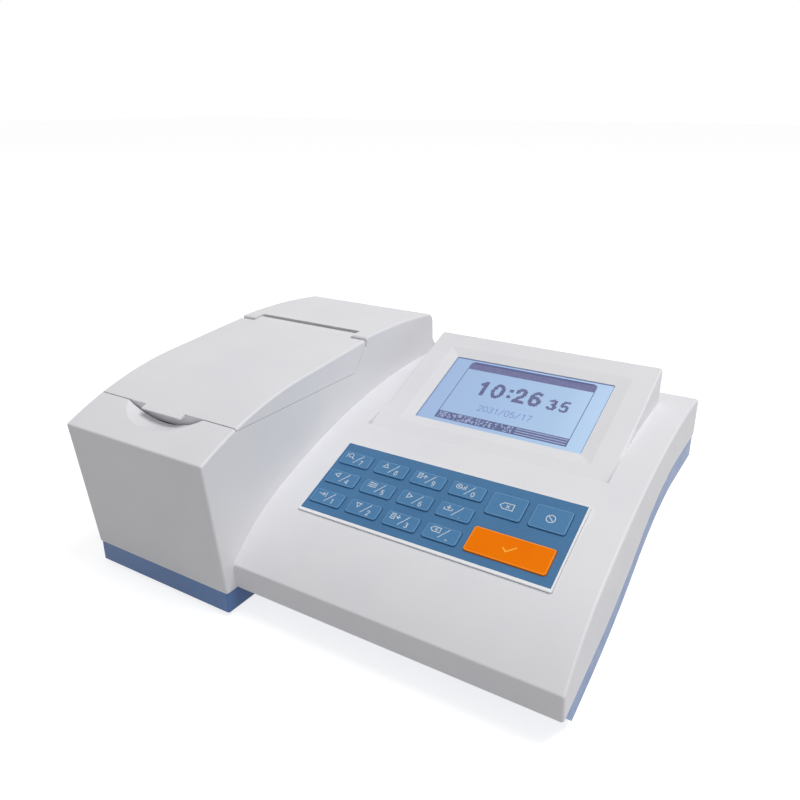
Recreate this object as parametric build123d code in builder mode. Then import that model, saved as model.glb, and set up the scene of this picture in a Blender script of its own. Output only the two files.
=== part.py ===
from build123d import *
from math import asin, cos, degrees, radians, sin, sqrt, tan
import os

# Benchtop colorimeter: a lidded photometer module on the left, and a sloping console with
# keypad and display on the right, both moulded covers on one blue tray.
# The model stands on its feet at height 0, centred left to right and front to back.
# Most sizes below are measured in the case's own directions: across from the left wall,
# back from the photometer's front top edge, and up from the tray's underside.

os.makedirs("parts", exist_ok=True)

# ---- Case ----
case_width = 315.0
case_depth = 256.0
photometer_width = 113.0
foot_height = 3.0
foot_radius = 9.0
wall = 2.6
seam_gap = 0.3
tray_inset = 0.6
edge_round = 1.5
reach = 40.0          # how far cutting shapes run past the case
overcut = 1.0         # how far a cut runs past the face or screw that it clears
tall = 200.0          # height of cutting shapes

rear_proud = 2.2      # how far the rear fittings stand out of the tray

left = -case_width / 2
front = -(case_depth - tray_inset + rear_proud) / 2
console_width = case_width - photometer_width

# Seam between the covers and the tray, seen from the side: low at the front, high at the rear.
rim_front = (17.0, 13.8)
rim_knee = (62.0, 24.5)
rim_middle = (130.0, 50.5)
rim_crest = (205.0, 71.0)

# Tray underside: a straight band below the seam, then flanks that slope inwards.
band_height = 14.5
flank_angle = 27.0
floor_thickness = 3.0
tray_corner = 1.5
tray_nose = 21.4      # tray's front under the console, behind the cover's front wall
tray_nose_run = 15.0  # how far the underside slopes back from there
lip_gap = 0.3
lip_thickness = 1.4
lip_height = 3.0
lip_root = 4.0
foot_places = (
    (22.0, 40.0),
    (44.0, case_depth - 41.0),
    (case_width - 30.0, 58.0),
    (case_width - 44.0, case_depth - 41.0),
)
foot_round = 0.8

# ---- Photometer cover and lid, side view ----
brow_height = 100.3
band_slope = 23.3           # fixed band between the front edge and the lid
front_lean = 11.4
roof_crest = (87.4, 124.5)
roof_slope = 4.8
shelf_depth = 158.5         # where the fixed rear roof begins
shelf_step = 1.2            # rear roof above the end of the lid
shelf_middle = (shelf_depth + 38.5, 132.1)
shelf_end = (case_depth - 5.5, 127.8)
rear_ledge = (case_depth - 4.5, 108.0)
rear_ledge_foot = 102.0
shelf_round = 2.0
rear_round = 7.0

lid_front = 28.6
lid_front_set_back = 1.7    # lean of the lid's front face, so that it swings clear
lid_front_gap = 0.6
lid_rim = 110.8
lid_heel = shelf_depth - 16.5
lid_tail = shelf_depth - 2.5
lid_tail_drop = 5.5          # height of the lid's end face
lid_wall = 2.5
lid_plug_bottom = 102.5
lid_plug_gap = 0.9
lid_plug_wall = 2.4
tongue_width = 87.0
tongue_end = shelf_depth + 6.7
slot_end = shelf_depth + 9.7
slot_side_gap = 0.7
tab_width = 32.5
tab_length = 4.1
tab_thickness = 2.2
tab_edge = 0.8              # thickness at the tab's front edge

hinge_set_back = 2.0        # hinge behind the lid's end, and below its roof
hinge_drop = 2.77
hinge_pin_radius = 1.25
hinge_pin_clearance = 0.05
hinge_pin_inset = 3.0
knuckle_radius = 2.9
knuckle_length = 14.0
cheek_bottom = 116.0

scoop_radius = 38.0
scoop_depth = 13.4
scoop_set_back = 18.3       # centre of the scoop's circle behind the lid's front seam
scoop_skin = 2.4

# ---- Sample chamber and optics ----
deck_bottom = 97.5
deck_thickness = 2.5
deck_gap = 0.4
ledge_width = 3.0
ledge_thickness = 2.5
seal_side = 4.0
seal_end = 5.8
seal_tail = 2.5
seal_gap = 0.2
cell_centre = 85.0          # back from the front edge
cuvette_width = 12.5
cuvette_wall = 1.25
cuvette_floor = 1.5
cuvette_height = 45.0
cuvette_seat = 62.0
cuvette_clearance = 0.2
cuvette_hole_gap = 1.0
cuvette_round = 0.8
beam_height = 77.0
beam_radius = 4.0
holder_width = 38.0
holder_gap = 0.3            # between the holder and the deck above it
holder_arch = (24.0, 6.0)   # width of the opening through its foot, and the solid left around it
holder_screw = 13.0
bench_bottom = 22.0
bench_thickness = 4.0
bench_across = (22.0, 92.0)
bench_along = (42.0, case_depth - 51.0)
bench_hole_inset = 6.0
filter_count = 6
filter_circle = 20.0
filter_radius = 6.3
filter_clearance = 0.05
wheel_rim = 1.8
wheel_thickness = 4.0
wheel_gap = 3.0
wheel_hub_radius = 5.0
lens_radius = 5.6
lens_tube_radius = 8.0
lens_tube_length = 12.0
lens_dome = 9.0
lens_thickness = 5.0
lens_flange = (26.0, 16.0)
lens_flange_thickness = 3.0
lens_screw = 10.5
motor_radius = 10.0
motor_length = 18.0
motor_shaft_radius = 1.5
bracket_thickness = 2.0
bracket_width = 40.0
bracket_top = 88.0
bracket_foot = 16.0
bracket_screw = (14.0, 6.0)
wheel_height = 57.0
wheel_radius = 28.0
wheel_hub_length = 2.0
shaft_grip = 10.0
motor_screw = 7.0
lamp_radius = 2.6
lamp_housing_radius = 8.5
lamp_housing_length = 22.0
lamp_cavity = 6.0
lamp_length = 16.0
lamp_ear = (30.0, 12.0)
lamp_ear_thickness = 2.0
lamp_screw = 12.0
diode_radius = 3.7
diode_length = 5.5
diode_gap = 6.5
diode_board = 28.0
diode_post = 2.2
diode_post_place = 11.0

# ---- Console roof ----
nose = (17.0, 30.0)
nose_foot = 19.9
shoulder = 60.0
roof_foot = 28.9      # height of the roof's arc at the case's front
roof_top = 97.5
roof_top_depth = case_depth - 20.0
roof_rise = roof_top - roof_foot
roof_radius = (roof_top_depth**2 + roof_rise**2) / (2 * roof_rise)
console_round = 1.5
console_nose_round = 1.8
console_rear_round = 5.0

# ---- Display ----
hump_left = 20.0            # from the console's left edge
hump_width = console_width - 40.5
hump_front = 128.2
hump_toe = 151.0            # where the housing's face crosses the roof
hump_back = case_depth - 23.8
hump_slope = 21.85
hump_round = 2.0
hump_run = (hump_back - hump_toe) / cos(radians(hump_slope))
window_width = hump_width - 47.5
window_length = hump_run - 22.2
window_left = 43.8
window_start = -2.0         # window's front edge above the toe, along the slope
bezel_width = window_width + 17.6
bezel_length = window_length + 16.6
bezel_depth = 1.4
bezel_round = 2.0
window_round = 1.0
window_step = 0.5
window_lip = 0.7            # cover left over the edge of the window's plate
lens_plate_margin = 5.0
lens_plate_thickness = 1.0
lcd_width = window_width + 17.0
lcd_length = window_length + 18.6
lcd_view_margin = 1.1
lcd_depth = 6.4
lcd_sheet = 0.5
lcd_glass_thickness = 2.2
lcd_gap = 0.2
lcd_board_width = lcd_width + 13.0
lcd_board_length = lcd_length + 8.0
board_thickness = 1.6
lcd_hole_inset = 3.0
boss_radius = 2.8

# ---- Keypad ----
pad_left = 22.8             # blue overlay's left edge from the console's left edge
pad_front = 53.2
pad_width = console_width - 46.0
pad_length = 55.3
pad_proud = 0.8
pad_border = (0.8, 1.2, 2.0, 0.6)      # white border: left, right, front, back
pad_frame_thickness = 2.5
pad_overlay_thickness = 0.5
pad_round = 0.8
pad_clearance = 0.25
pad_ledge = (1.4, 4.0, 4.0, 4.0)       # cover left standing under the frame's edge
pad_backing = 2.2
key_margin = (2.2, 4.9, 5.5, 6.9)      # film beyond the keys: left, right, front, back
key_gap = (4.5, 6.1)
key_width = (pad_width - key_margin[0] - key_margin[1] - 5 * key_gap[0]) / 6
key_length = (pad_length - key_margin[2] - key_margin[3] - 2 * key_gap[1]) / 3
key_pitch = (key_width + key_gap[0], key_length + key_gap[1])
wide_key_length = 16.1
enter_key_length = 17.0
key_height = 0.9
key_top_round = 0.35
key_round = 1.6
key_clearance = 0.25
key_flange = 0.9
key_flange_gap = 0.1
key_flange_thickness = 1.0
key_travel = 0.7
key_stop_gap = 0.2          # left under a key at the end of its travel
key_stem_radius = 1.7
key_stem_reach = 0.5        # how far a resting key's stem stands in its switch
switch_size = 6.0
switch_well_gap = 0.3
switch_floor = 0.7
keypad_board_edges = ((2.2, pad_width - 4.0), (4.0, pad_length - 6.0))
keypad_post_radius = 1.8

# ---- Fasteners ----
case_post_radius = 4.5
case_post_top = 22.0
case_screw_radius = 1.5
case_screw_head = 2.8
case_screw_head_height = 2.0
case_screw_land = 4.0
case_screw_bite = 10.0
small_screw_radius = 1.0
small_screw_head = 2.0
small_screw_head_height = 1.2
small_screw_bite = 4.0
screw_tip_gap = 1.0
screw_clearance = 0.05
photometer_posts = (
    (14.0, 19.0),
    (photometer_width - 14.0, 19.0),
    (40.0, case_depth - 18.0),
    (photometer_width - 23.0, case_depth - 18.0),
)
console_posts = (
    (photometer_width + 20.0, 46.0),
    (case_width - 45.0, 46.0),
    (photometer_width + 20.0, case_depth - 16.0),
    (case_width - 45.0, case_depth - 16.0),
)

# ---- Electronics on the tray ----
main_board_edges = ((photometer_width + 27.0, case_width - 37.0), (66.0, case_depth - 100.0))
main_board_height = 11.0
board_hole_inset = 5.0
board_post_radius = 3.0
supply_board_edges = (
    (photometer_width + 53.0, case_width - 53.0),
    (case_depth - 90.0, case_depth - 34.0),
)
transformer = (
    (supply_board_edges[0][0] + 10.0, supply_board_edges[0][0] + 46.0),
    (supply_board_edges[1][0] + 10.0, supply_board_edges[1][0] + 46.0),
)
transformer_height = 30.0
capacitor_radius = 6.0
capacitor_height = 22.0
capacitor_places = (
    (supply_board_edges[0][1] - 34.0, supply_board_edges[1][0] + 16.0),
    (supply_board_edges[0][1] - 34.0, supply_board_edges[1][0] + 40.0),
    (supply_board_edges[0][1] - 16.0, supply_board_edges[1][0] + 28.0),
)
chip_places = (
    (main_board_edges[0][0] + 25.0, main_board_edges[1][0] + 44.0),
    (main_board_edges[0][0] + 60.0, main_board_edges[1][0] + 46.0),
    (main_board_edges[0][1] - 28.0, main_board_edges[1][0] + 34.0),
)
chip_size = (16.0, 16.0)
chip_height = 2.0
plug_size = (26.0, 6.0)
plug_height = 5.0
ribbon_across = photometer_width + 96.0
ribbon_width = 22.0
ribbon_thickness = 0.8
ribbon_bend = 4.0
ribbon_lead = 10.0
keypad_ribbon_back = main_board_edges[1][0] + 10.0
display_ribbon_back = main_board_edges[1][1] - 10.0
display_plug_down_slope = 20.0

# ---- Rear fittings, on the tray's rear wall ----
fitting_gap = 0.15
inlet_centre = (case_width - 72.0, 32.0)
inlet_body = (27.4, 20.0)
inlet_flange = (33.0, 25.0)
inlet_flange_thickness = 1.6
inlet_round = 1.5
inlet_depth = 22.0
inlet_mouth = (24.0, 16.4)
inlet_mouth_depth = 15.0
inlet_pin = (2.0, 4.0)
inlet_pin_length = 12.0
inlet_pin_places = ((-7.0, -3.0), (0.0, 0.5), (7.0, -3.0))
rocker_centre = (case_width - 110.0, 32.0)
switch_body = (14.6, 24.0)
switch_flange = (18.0, 27.5)
switch_flange_thickness = 1.2
switch_depth = 17.0
switch_mouth = (11.2, 20.0)
switch_mouth_depth = 12.0
rocker_width = 10.6
rocker_half_length = 8.6
rocker_pivot_depth = 5.0
rocker_crest = 6.4
rocker_dip = 4.6
rocker_keel = 4.2
rocker_tilt = 12.0
rocker_axle_radius = 1.2
rocker_axle_reach = 1.4
rocker_axle_gap = 0.05
fuse_centre = (case_width - 137.0, 32.0)
fuse_body_radius = 6.0
fuse_cap_radius = 7.5
fuse_depth = 24.0
fuse_slot = (9.0, 1.2)
fuse_slot_depth = 1.0
port_centre = (case_width - 165.0, 32.0)
port_body = (18.0, 10.0)
port_plate = (31.0, 12.5)
port_plate_thickness = 0.8
port_shell = (17.0, 8.4)
port_shell_round = 2.6
port_depth = 9.0
jack_spread = 12.5
jack_radius = 2.4


# ---- Places ----
def side_plane(across):
    # Side view: the first axis runs back, the second up.
    return Plane(origin=(left + across, front, foot_height), x_dir=(0, 1, 0), z_dir=(1, 0, 0))


def level_plane(height):
    # Plan view: the first axis runs across, the second back.
    return Plane(origin=(left, front, foot_height + height), x_dir=(1, 0, 0), z_dir=(0, 0, 1))


def cross_plane(depth):
    # View from the front: the first axis runs across, the second up; extrusions run forwards.
    return Plane(origin=(left, front + depth, foot_height), x_dir=(1, 0, 0), z_dir=(0, -1, 0))


def sloped_plane(across, back, height, slope):
    # Panel plane: the first axis runs across, the second up the slope, extrusions outwards.
    tilt = radians(slope)
    origin = (left + across, front + back, foot_height + height)
    return Plane(origin=origin, x_dir=(1, 0, 0), z_dir=(0, -sin(tilt), cos(tilt)))


def roof_height(back):
    # Height of the console's curved roof at a distance from the front.
    return roof_top - roof_radius + sqrt(roof_radius**2 - (roof_top_depth - back) ** 2)


def lid_roof_height(back):
    # Height of the straight part of the lid's roof.
    return roof_crest[1] + (back - roof_crest[0]) * tan(radians(roof_slope))


def block(across, back, up, mode=Mode.ADD):
    # Box between pairs of limits.
    middle = ((across[0] + across[1]) / 2, (back[0] + back[1]) / 2)
    with BuildSketch(level_plane(up[0])) as base:
        with Locations(middle):
            Rectangle(across[1] - across[0], back[1] - back[0])
    extrude(base.sketch, amount=up[1] - up[0], mode=mode)


def rods(plane, centres, radius, length, mode=Mode.ADD):
    # Round bars of one size, each standing on the plane at its centre.
    with BuildSketch(plane) as ends:
        with Locations(*centres):
            Circle(radius)
    extrude(ends.sketch, amount=length, mode=mode)


def plate(plane, centre, size, thickness, corner=0.0, mode=Mode.ADD):
    # Flat plate on a plane, with rounded corners where the radius isn't zero.
    with BuildSketch(plane) as outline:
        with Locations(centre):
            if corner > 0:
                RectangleRounded(size[0], size[1], corner)
            else:
                Rectangle(size[0], size[1])
    extrude(outline.sketch, amount=thickness, mode=mode)


def grow(size, margin):
    return (size[0] + 2 * margin, size[1] + 2 * margin)


photometer_middle = photometer_width / 2
console_left = photometer_width
hump_across = console_left + hump_left
window_across = console_left + window_left + window_width / 2
pad_across = console_left + pad_left
display_toe = roof_height(hump_toe)
window_up_slope = window_start + window_length / 2
toe_plane = sloped_plane(hump_across, hump_toe, display_toe, hump_slope)
display_plane = sloped_plane(
    window_across,
    hump_toe + window_up_slope * cos(radians(hump_slope)),
    display_toe + window_up_slope * sin(radians(hump_slope)),
    hump_slope,
)
pad_slope = degrees(asin((roof_height(pad_front + pad_length) - roof_height(pad_front)) / pad_length))
pad_plane = sloped_plane(pad_across, pad_front, roof_height(pad_front) + pad_proud, pad_slope)


# ---- Shared shapes ----
def below_rim(across, lift, floor):
    # Side-view region between a level line and the seam line raised by lift.
    with BuildSketch(side_plane(across)) as region:
        with BuildLine():
            nose_line = Polyline(
                (-reach, floor),
                (-reach, rim_front[1] + lift),
                (rim_front[0], rim_front[1] + lift),
                (rim_knee[0], rim_knee[1] + lift),
            )
            rise = TangentArc(
                nose_line @ 1, (rim_middle[0], rim_middle[1] + lift), tangent=nose_line % 1
            )
            top = TangentArc(rise @ 1, (rim_crest[0], rim_crest[1] + lift), tangent=rise % 1)
            Polyline(top @ 1, (case_depth + reach, rim_crest[1] + lift), (case_depth + reach, floor))
            Line((case_depth + reach, floor), (-reach, floor))
        make_face()
    return region.sketch


def below_flanks(lift, margin):
    # Everything under the tray's sloping flanks and console nose, raised by lift.
    lean = tan(radians(flank_angle))
    with BuildPart() as under:
        for side, across in ((-1, 0.0), (1, case_width)):
            start = across + side * reach
            region = below_rim(start, lift - band_height + reach / lean, -reach)
            slide = (-side * sin(radians(flank_angle)), 0, -cos(radians(flank_angle)))
            extrude(region, amount=4 * reach, dir=slide)
        with BuildSketch(side_plane(photometer_width - margin)) as nose_region:
            with BuildLine():
                Polyline(
                    (-reach, lift + rim_front[1] + reach),
                    (tray_nose - reach, lift + rim_front[1] + reach),
                    (tray_nose + tray_nose_run, lift),
                    (tray_nose + tray_nose_run, -reach),
                    (-reach, -reach),
                    close=True,
                )
            make_face()
        extrude(nose_region.sketch, amount=console_width)
    return under.part


def footprint(console_front, margin):
    # Plan of the case: the photometer's front stands forward of the console's.
    photometer_front = front_lean * (1 - rim_front[1] / brow_height)
    with BuildSketch(level_plane(0)) as plan:
        with BuildLine():
            Polyline(
                (margin, photometer_front + margin),
                (photometer_width - margin, photometer_front + margin),
                (photometer_width - margin, console_front + margin),
                (case_width - margin, console_front + margin),
                (case_width - margin, case_depth - margin),
                (margin, case_depth - margin),
                close=True,
            )
        make_face()
    return plan.sketch


def facing_back(depth):
    # Like cross_plane, but things on it point backwards; the second axis runs down.
    return Plane(origin=(left, front + depth, foot_height), x_dir=(1, 0, 0), z_dir=(0, 1, 0))


def screws(plane, centres, length):
    # Small screws whose heads sit on the plane and whose shanks run on from it.
    rods(plane, centres, small_screw_radius, length)
    rods(plane, centres, small_screw_head, -small_screw_head_height)


def bores(plane, centres, length):
    # Holes for those screws.
    rods(plane, centres, small_screw_radius + screw_clearance, length, mode=Mode.SUBTRACT)


def facing_down(height):
    # Like level_plane, but screws on it point down; the second axis runs forwards.
    return Plane(origin=(left, front, foot_height + height), x_dir=(1, 0, 0), z_dir=(0, 0, -1))


def flipped(places):
    return [(across, -back) for across, back in places]


def corners(across, back, inset):
    return [
        (x, y)
        for x in (across[0] + inset, across[1] - inset)
        for y in (back[0] + inset, back[1] - inset)
    ]


# ---- Photometer: one curved block, parted into the cover and its lid ----
seam_height = brow_height + lid_front * tan(radians(band_slope))
chamber_front = lid_front - lid_front_gap
tongue_across = (photometer_middle - tongue_width / 2, photometer_middle + tongue_width / 2)
hinge_axis = (shelf_depth + hinge_set_back, lid_roof_height(shelf_depth) - hinge_drop)
shelf_height = lid_roof_height(shelf_depth) + shelf_step
lid_tail_foot = lid_roof_height(shelf_depth) - lid_tail_drop


def lid_face(height):
    # The lid's front face leans back towards its lower edge.
    return lid_front + lid_front_set_back * (seam_height - height) / (seam_height - lid_plug_bottom)


with BuildSketch() as front_profile:
    with BuildLine():
        Polyline((shelf_depth, 0), (front_lean, 0), (0, brow_height))
        uphill = (-cos(radians(roof_slope)), -sin(radians(roof_slope)))
        TangentArc(roof_crest, (0, brow_height), tangent=uphill)
        Polyline(roof_crest, (shelf_depth, lid_roof_height(shelf_depth)), (shelf_depth, 0))
    make_face()

with BuildSketch() as shelf_profile:
    with BuildLine():
        Line((shelf_depth, 0), (shelf_depth, shelf_height))
        ThreePointArc((shelf_depth, shelf_height), shelf_middle, shelf_end)
        Polyline(shelf_end, rear_ledge, (case_depth, rear_ledge_foot), (case_depth, 0), (shelf_depth, 0))
    make_face()
    fillet(vertices().sort_by_distance((shelf_depth, shelf_height))[0], shelf_round)
    fillet(vertices().sort_by_distance(shelf_end)[0], rear_round)

with BuildPart() as front_block:
    with BuildSketch(side_plane(0)):
        add(front_profile.sketch)
    extrude(amount=photometer_width)
    rounded = faces().filter_by(Axis.X).edges().filter_by(
        lambda e: e.center().Z > foot_height + edge_round
        and e.center().Y < front + shelf_depth - edge_round
    )
    brow = edges().filter_by(Axis.X).sort_by(Axis.Y)[0]
    fillet(rounded + [brow], edge_round)

with BuildPart() as rear_block:
    with BuildSketch(side_plane(0)):
        add(shelf_profile.sketch)
    extrude(amount=photometer_width)
    rounded = faces().filter_by(Axis.X).edges().filter_by(
        lambda e: e.center().Z > foot_height + edge_round
        and e.center().Y > front + shelf_depth + edge_round / 2
    )
    fillet(rounded, edge_round)

with BuildPart() as scoop:
    bowl_radius = (scoop_radius**2 + scoop_depth**2) / (2 * scoop_depth)
    bowl_back = lid_front + scoop_set_back
    bowl_lift = bowl_radius - scoop_depth
    bowl_centre = (
        left + photometer_middle,
        front + bowl_back - bowl_lift * sin(radians(band_slope)),
        foot_height + brow_height + bowl_back * tan(radians(band_slope))
        + bowl_lift * cos(radians(band_slope)),
    )
    with Locations(bowl_centre):
        Sphere(bowl_radius)

with BuildSketch() as photometer_inside:
    add(front_profile.sketch)
    add(shelf_profile.sketch)
    offset(amount=-wall)
    with Locations(((chamber_front - wall + slot_end + wall) / 2, deck_bottom - ledge_thickness)):
        Rectangle(
            slot_end - chamber_front + 2 * wall, tall, align=(Align.CENTER, Align.MIN), mode=Mode.SUBTRACT
        )

with BuildPart() as photometer_hollow:
    with BuildSketch(side_plane(wall)):
        add(photometer_inside.sketch)
    extrude(amount=photometer_width - 2 * wall)
    with Locations(bowl_centre):
        Sphere(bowl_radius + scoop_skin, mode=Mode.SUBTRACT)
    inner = (wall, photometer_width - wall)
    block(inner, (chamber_front, slot_end), (deck_bottom, tall))
    block(
        (inner[0] + ledge_width, inner[1] - ledge_width),
        (chamber_front + ledge_width, slot_end - ledge_width),
        (deck_bottom - 2 * ledge_thickness, deck_bottom + ledge_thickness),
    )
    for cheek in (
        (0, tongue_across[0] - slot_side_gap),
        (tongue_across[1] + slot_side_gap, photometer_width),
    ):
        block(cheek, (shelf_depth, slot_end), (cheek_bottom, tall), mode=Mode.SUBTRACT)
    rods(level_plane(case_post_top), photometer_posts, case_post_radius, tall, mode=Mode.SUBTRACT)

with BuildSketch() as lid_opening:
    with BuildLine():
        Polyline(
            (chamber_front, tall),
            (chamber_front, lid_rim - seam_gap),
            (lid_heel + seam_gap / 2, lid_rim - seam_gap),
            (lid_tail + lid_front_gap, lid_tail_foot - seam_gap),
            (shelf_depth, lid_tail_foot - seam_gap),
            (shelf_depth, tall),
            close=True,
        )
    make_face()

with BuildPart() as photometer_cover:
    add(front_block.part)
    add(rear_block.part)
    joint_along = (shelf_depth - overcut, shelf_depth + 2 * edge_round)
    block((0, photometer_width), joint_along, (0, lid_tail_foot - seam_gap))
    add(photometer_hollow.part, mode=Mode.SUBTRACT)
    with BuildSketch(side_plane(0)):
        add(lid_opening.sketch)
    extrude(amount=photometer_width, mode=Mode.SUBTRACT)
    block(
        (tongue_across[0] - slot_side_gap, tongue_across[1] + slot_side_gap),
        (lid_heel, slot_end),
        (cheek_bottom, tall),
        mode=Mode.SUBTRACT,
    )
    add(scoop.part, mode=Mode.SUBTRACT)
    extrude(below_rim(-reach, 0, -reach), amount=case_width, mode=Mode.SUBTRACT)
    rods(
        side_plane(hinge_pin_inset),
        [hinge_axis],
        hinge_pin_radius + hinge_pin_clearance,
        photometer_width - 2 * hinge_pin_inset,
        mode=Mode.SUBTRACT,
    )
    rods(
        level_plane(case_post_top),
        photometer_posts,
        case_screw_radius + screw_clearance,
        case_screw_bite + overcut,
        mode=Mode.SUBTRACT,
    )
photometer_cover.part.label = "photometer_cover"
export_step(photometer_cover.part, "parts/photometer_cover.step")

with BuildSketch() as lid_wedge:
    with BuildLine():
        Polyline(
            (lid_front, tall),
            (lid_front, seam_height),
            (lid_face(lid_rim), lid_rim),
            (lid_heel, lid_rim),
            (lid_tail, lid_tail_foot),
            (lid_tail, tall),
            close=True,
        )
    make_face()

with BuildSketch() as lid_inside:
    add(front_profile.sketch)
    with BuildSketch(mode=Mode.INTERSECT):
        add(lid_wedge.sketch)
        with BuildLine():
            Polyline(
                (lid_face(seam_height), seam_height),
                (lid_face(lid_plug_bottom - lid_wall - overcut), lid_plug_bottom - lid_wall - overcut),
                (lid_heel, lid_plug_bottom - lid_wall - overcut),
                (lid_heel, seam_height),
                close=True,
            )
        make_face()
    offset(amount=-lid_wall)

with BuildPart() as lid_tab:
    add(front_block.part)
    with BuildSketch(side_plane(photometer_middle - tab_width / 2)):
        with BuildLine():
            tab_front = lid_front - tab_length
            tab_under = seam_height - tab_thickness / cos(radians(band_slope))
            tab_drop = tab_length * tan(radians(band_slope))
            tab_lip = seam_height - tab_drop - tab_edge / cos(radians(band_slope))
            Polyline(
                (tab_front, tall),
                (tab_front, tab_lip),
                (lid_front, tab_under),
                (lid_front + lid_wall, tab_under),
                (lid_front + lid_wall, tall),
                close=True,
            )
        make_face()
    extrude(amount=tab_width, mode=Mode.INTERSECT)

with BuildPart() as lid:
    add(front_block.part)
    with BuildSketch(side_plane(0)):
        add(lid_wedge.sketch)
    extrude(amount=photometer_width, mode=Mode.INTERSECT)
    add(lid_tab.part)
    plug_inset = wall + lid_plug_gap
    with BuildSketch(side_plane(plug_inset)):
        with BuildLine():
            Polyline(
                (lid_face(lid_rim + overcut), lid_rim + overcut),
                (lid_face(lid_plug_bottom), lid_plug_bottom),
                (lid_heel, lid_plug_bottom),
                (lid_heel, lid_rim + overcut),
                close=True,
            )
        make_face()
    extrude(amount=photometer_width - 2 * plug_inset)
    with BuildSketch(side_plane(plug_inset + lid_plug_wall)):
        add(lid_inside.sketch)
    extrude(amount=photometer_width - 2 * (plug_inset + lid_plug_wall), mode=Mode.SUBTRACT)
    with BuildSketch(side_plane(tongue_across[0])):
        with BuildLine():
            Polyline(
                (lid_tail - lid_wall, lid_roof_height(lid_tail - lid_wall)),
                (tongue_end, lid_roof_height(tongue_end)),
                (tongue_end, lid_roof_height(tongue_end) - lid_wall),
                (lid_tail - lid_wall, lid_roof_height(lid_tail - lid_wall) - lid_wall),
                close=True,
            )
        make_face()
    extrude(amount=tongue_width)
    for start in (tongue_across[0], tongue_across[1] - knuckle_length):
        rods(side_plane(start), [hinge_axis], knuckle_radius, knuckle_length)
    rods(
        side_plane(0),
        [hinge_axis],
        hinge_pin_radius + hinge_pin_clearance,
        photometer_width,
        mode=Mode.SUBTRACT,
    )
lid.part.label = "lid"
export_step(lid.part, "parts/lid.step")

with BuildPart() as hinge_pins:
    pin_length = tongue_across[0] + knuckle_length - hinge_pin_inset
    for start in (hinge_pin_inset, photometer_width - hinge_pin_inset - pin_length):
        rods(side_plane(start), [hinge_axis], hinge_pin_radius, pin_length)
hinge_pins.part.label = "hinge_pins"
export_step(hinge_pins.part, "parts/hinge_pins.step")

# ---- Sample chamber ----
deck_across = (wall + deck_gap, photometer_width - wall - deck_gap)
deck_along = (chamber_front + deck_gap, slot_end - deck_gap)
deck_top = deck_bottom + deck_thickness


def square_about(size):
    # Limits of a square around the sample cell, across and back.
    return (
        (photometer_middle - size / 2, photometer_middle + size / 2),
        (cell_centre - size / 2, cell_centre + size / 2),
    )


with BuildPart() as sample_deck:
    block(deck_across, deck_along, (deck_bottom, deck_top))
    hole = square_about(cuvette_width + 2 * cuvette_hole_gap)
    block(*hole, (deck_bottom, deck_top), mode=Mode.SUBTRACT)
sample_deck.part.label = "sample_deck"
export_step(sample_deck.part, "parts/sample_deck.step")

with BuildPart() as lid_seal:
    seal_top = lid_plug_bottom - seal_gap
    seal_along = (deck_along[0], lid_heel + seal_tail)
    block(deck_across, seal_along, (deck_top, seal_top))
    block(
        (deck_across[0] + seal_side, deck_across[1] - seal_side),
        (seal_along[0] + seal_end, seal_along[1] - seal_end),
        (deck_top, seal_top),
        mode=Mode.SUBTRACT,
    )
lid_seal.part.label = "lid_seal"
export_step(lid_seal.part, "parts/lid_seal.step")

bench_top = bench_bottom + bench_thickness
holder_front = cell_centre - holder_width / 2
holder_back = cell_centre + holder_width / 2
beam_axis = (photometer_middle, beam_height)
holder_screws = [
    (photometer_middle + x, cell_centre + y)
    for x in (-holder_screw, holder_screw)
    for y in (-holder_screw, holder_screw)
]
diode_posts = [
    (photometer_middle + x, beam_height + y)
    for x in (-diode_post_place, diode_post_place)
    for y in (-diode_post_place, diode_post_place)
]
lens_screws = [(photometer_middle - lens_screw, beam_height), (photometer_middle + lens_screw, beam_height)]

with BuildPart() as cell_holder:
    block(*square_about(holder_width), (bench_top, deck_bottom - holder_gap))
    pocket = square_about(cuvette_width + 2 * cuvette_clearance)
    block(*pocket, (cuvette_seat, deck_bottom), mode=Mode.SUBTRACT)
    block(
        square_about(holder_width)[0],
        (cell_centre - holder_arch[0] / 2, cell_centre + holder_arch[0] / 2),
        (bench_top + holder_arch[1], cuvette_seat - holder_arch[1]),
        mode=Mode.SUBTRACT,
    )
    rods(cross_plane(holder_back), [beam_axis], beam_radius, holder_width, mode=Mode.SUBTRACT)
    rods(cross_plane(holder_front), diode_posts, diode_post, diode_gap)
    bores(facing_back(holder_front - diode_gap), flipped(diode_posts), small_screw_bite + overcut)
    bores(level_plane(bench_top), holder_screws, small_screw_bite + overcut)
    bores(cross_plane(holder_back), lens_screws, small_screw_bite + overcut)
cell_holder.part.label = "cell_holder"
export_step(cell_holder.part, "parts/cell_holder.step")

with BuildPart() as cuvette:
    with BuildSketch(level_plane(cuvette_seat)):
        with Locations((photometer_middle, cell_centre)):
            RectangleRounded(cuvette_width, cuvette_width, cuvette_round)
    extrude(amount=cuvette_height)
    inside = cuvette_width - 2 * cuvette_wall
    block(
        *square_about(inside),
        (cuvette_seat + cuvette_floor, cuvette_seat + cuvette_height),
        mode=Mode.SUBTRACT,
    )
cuvette.part.label = "cuvette"
export_step(cuvette.part, "parts/cuvette.step")

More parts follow.
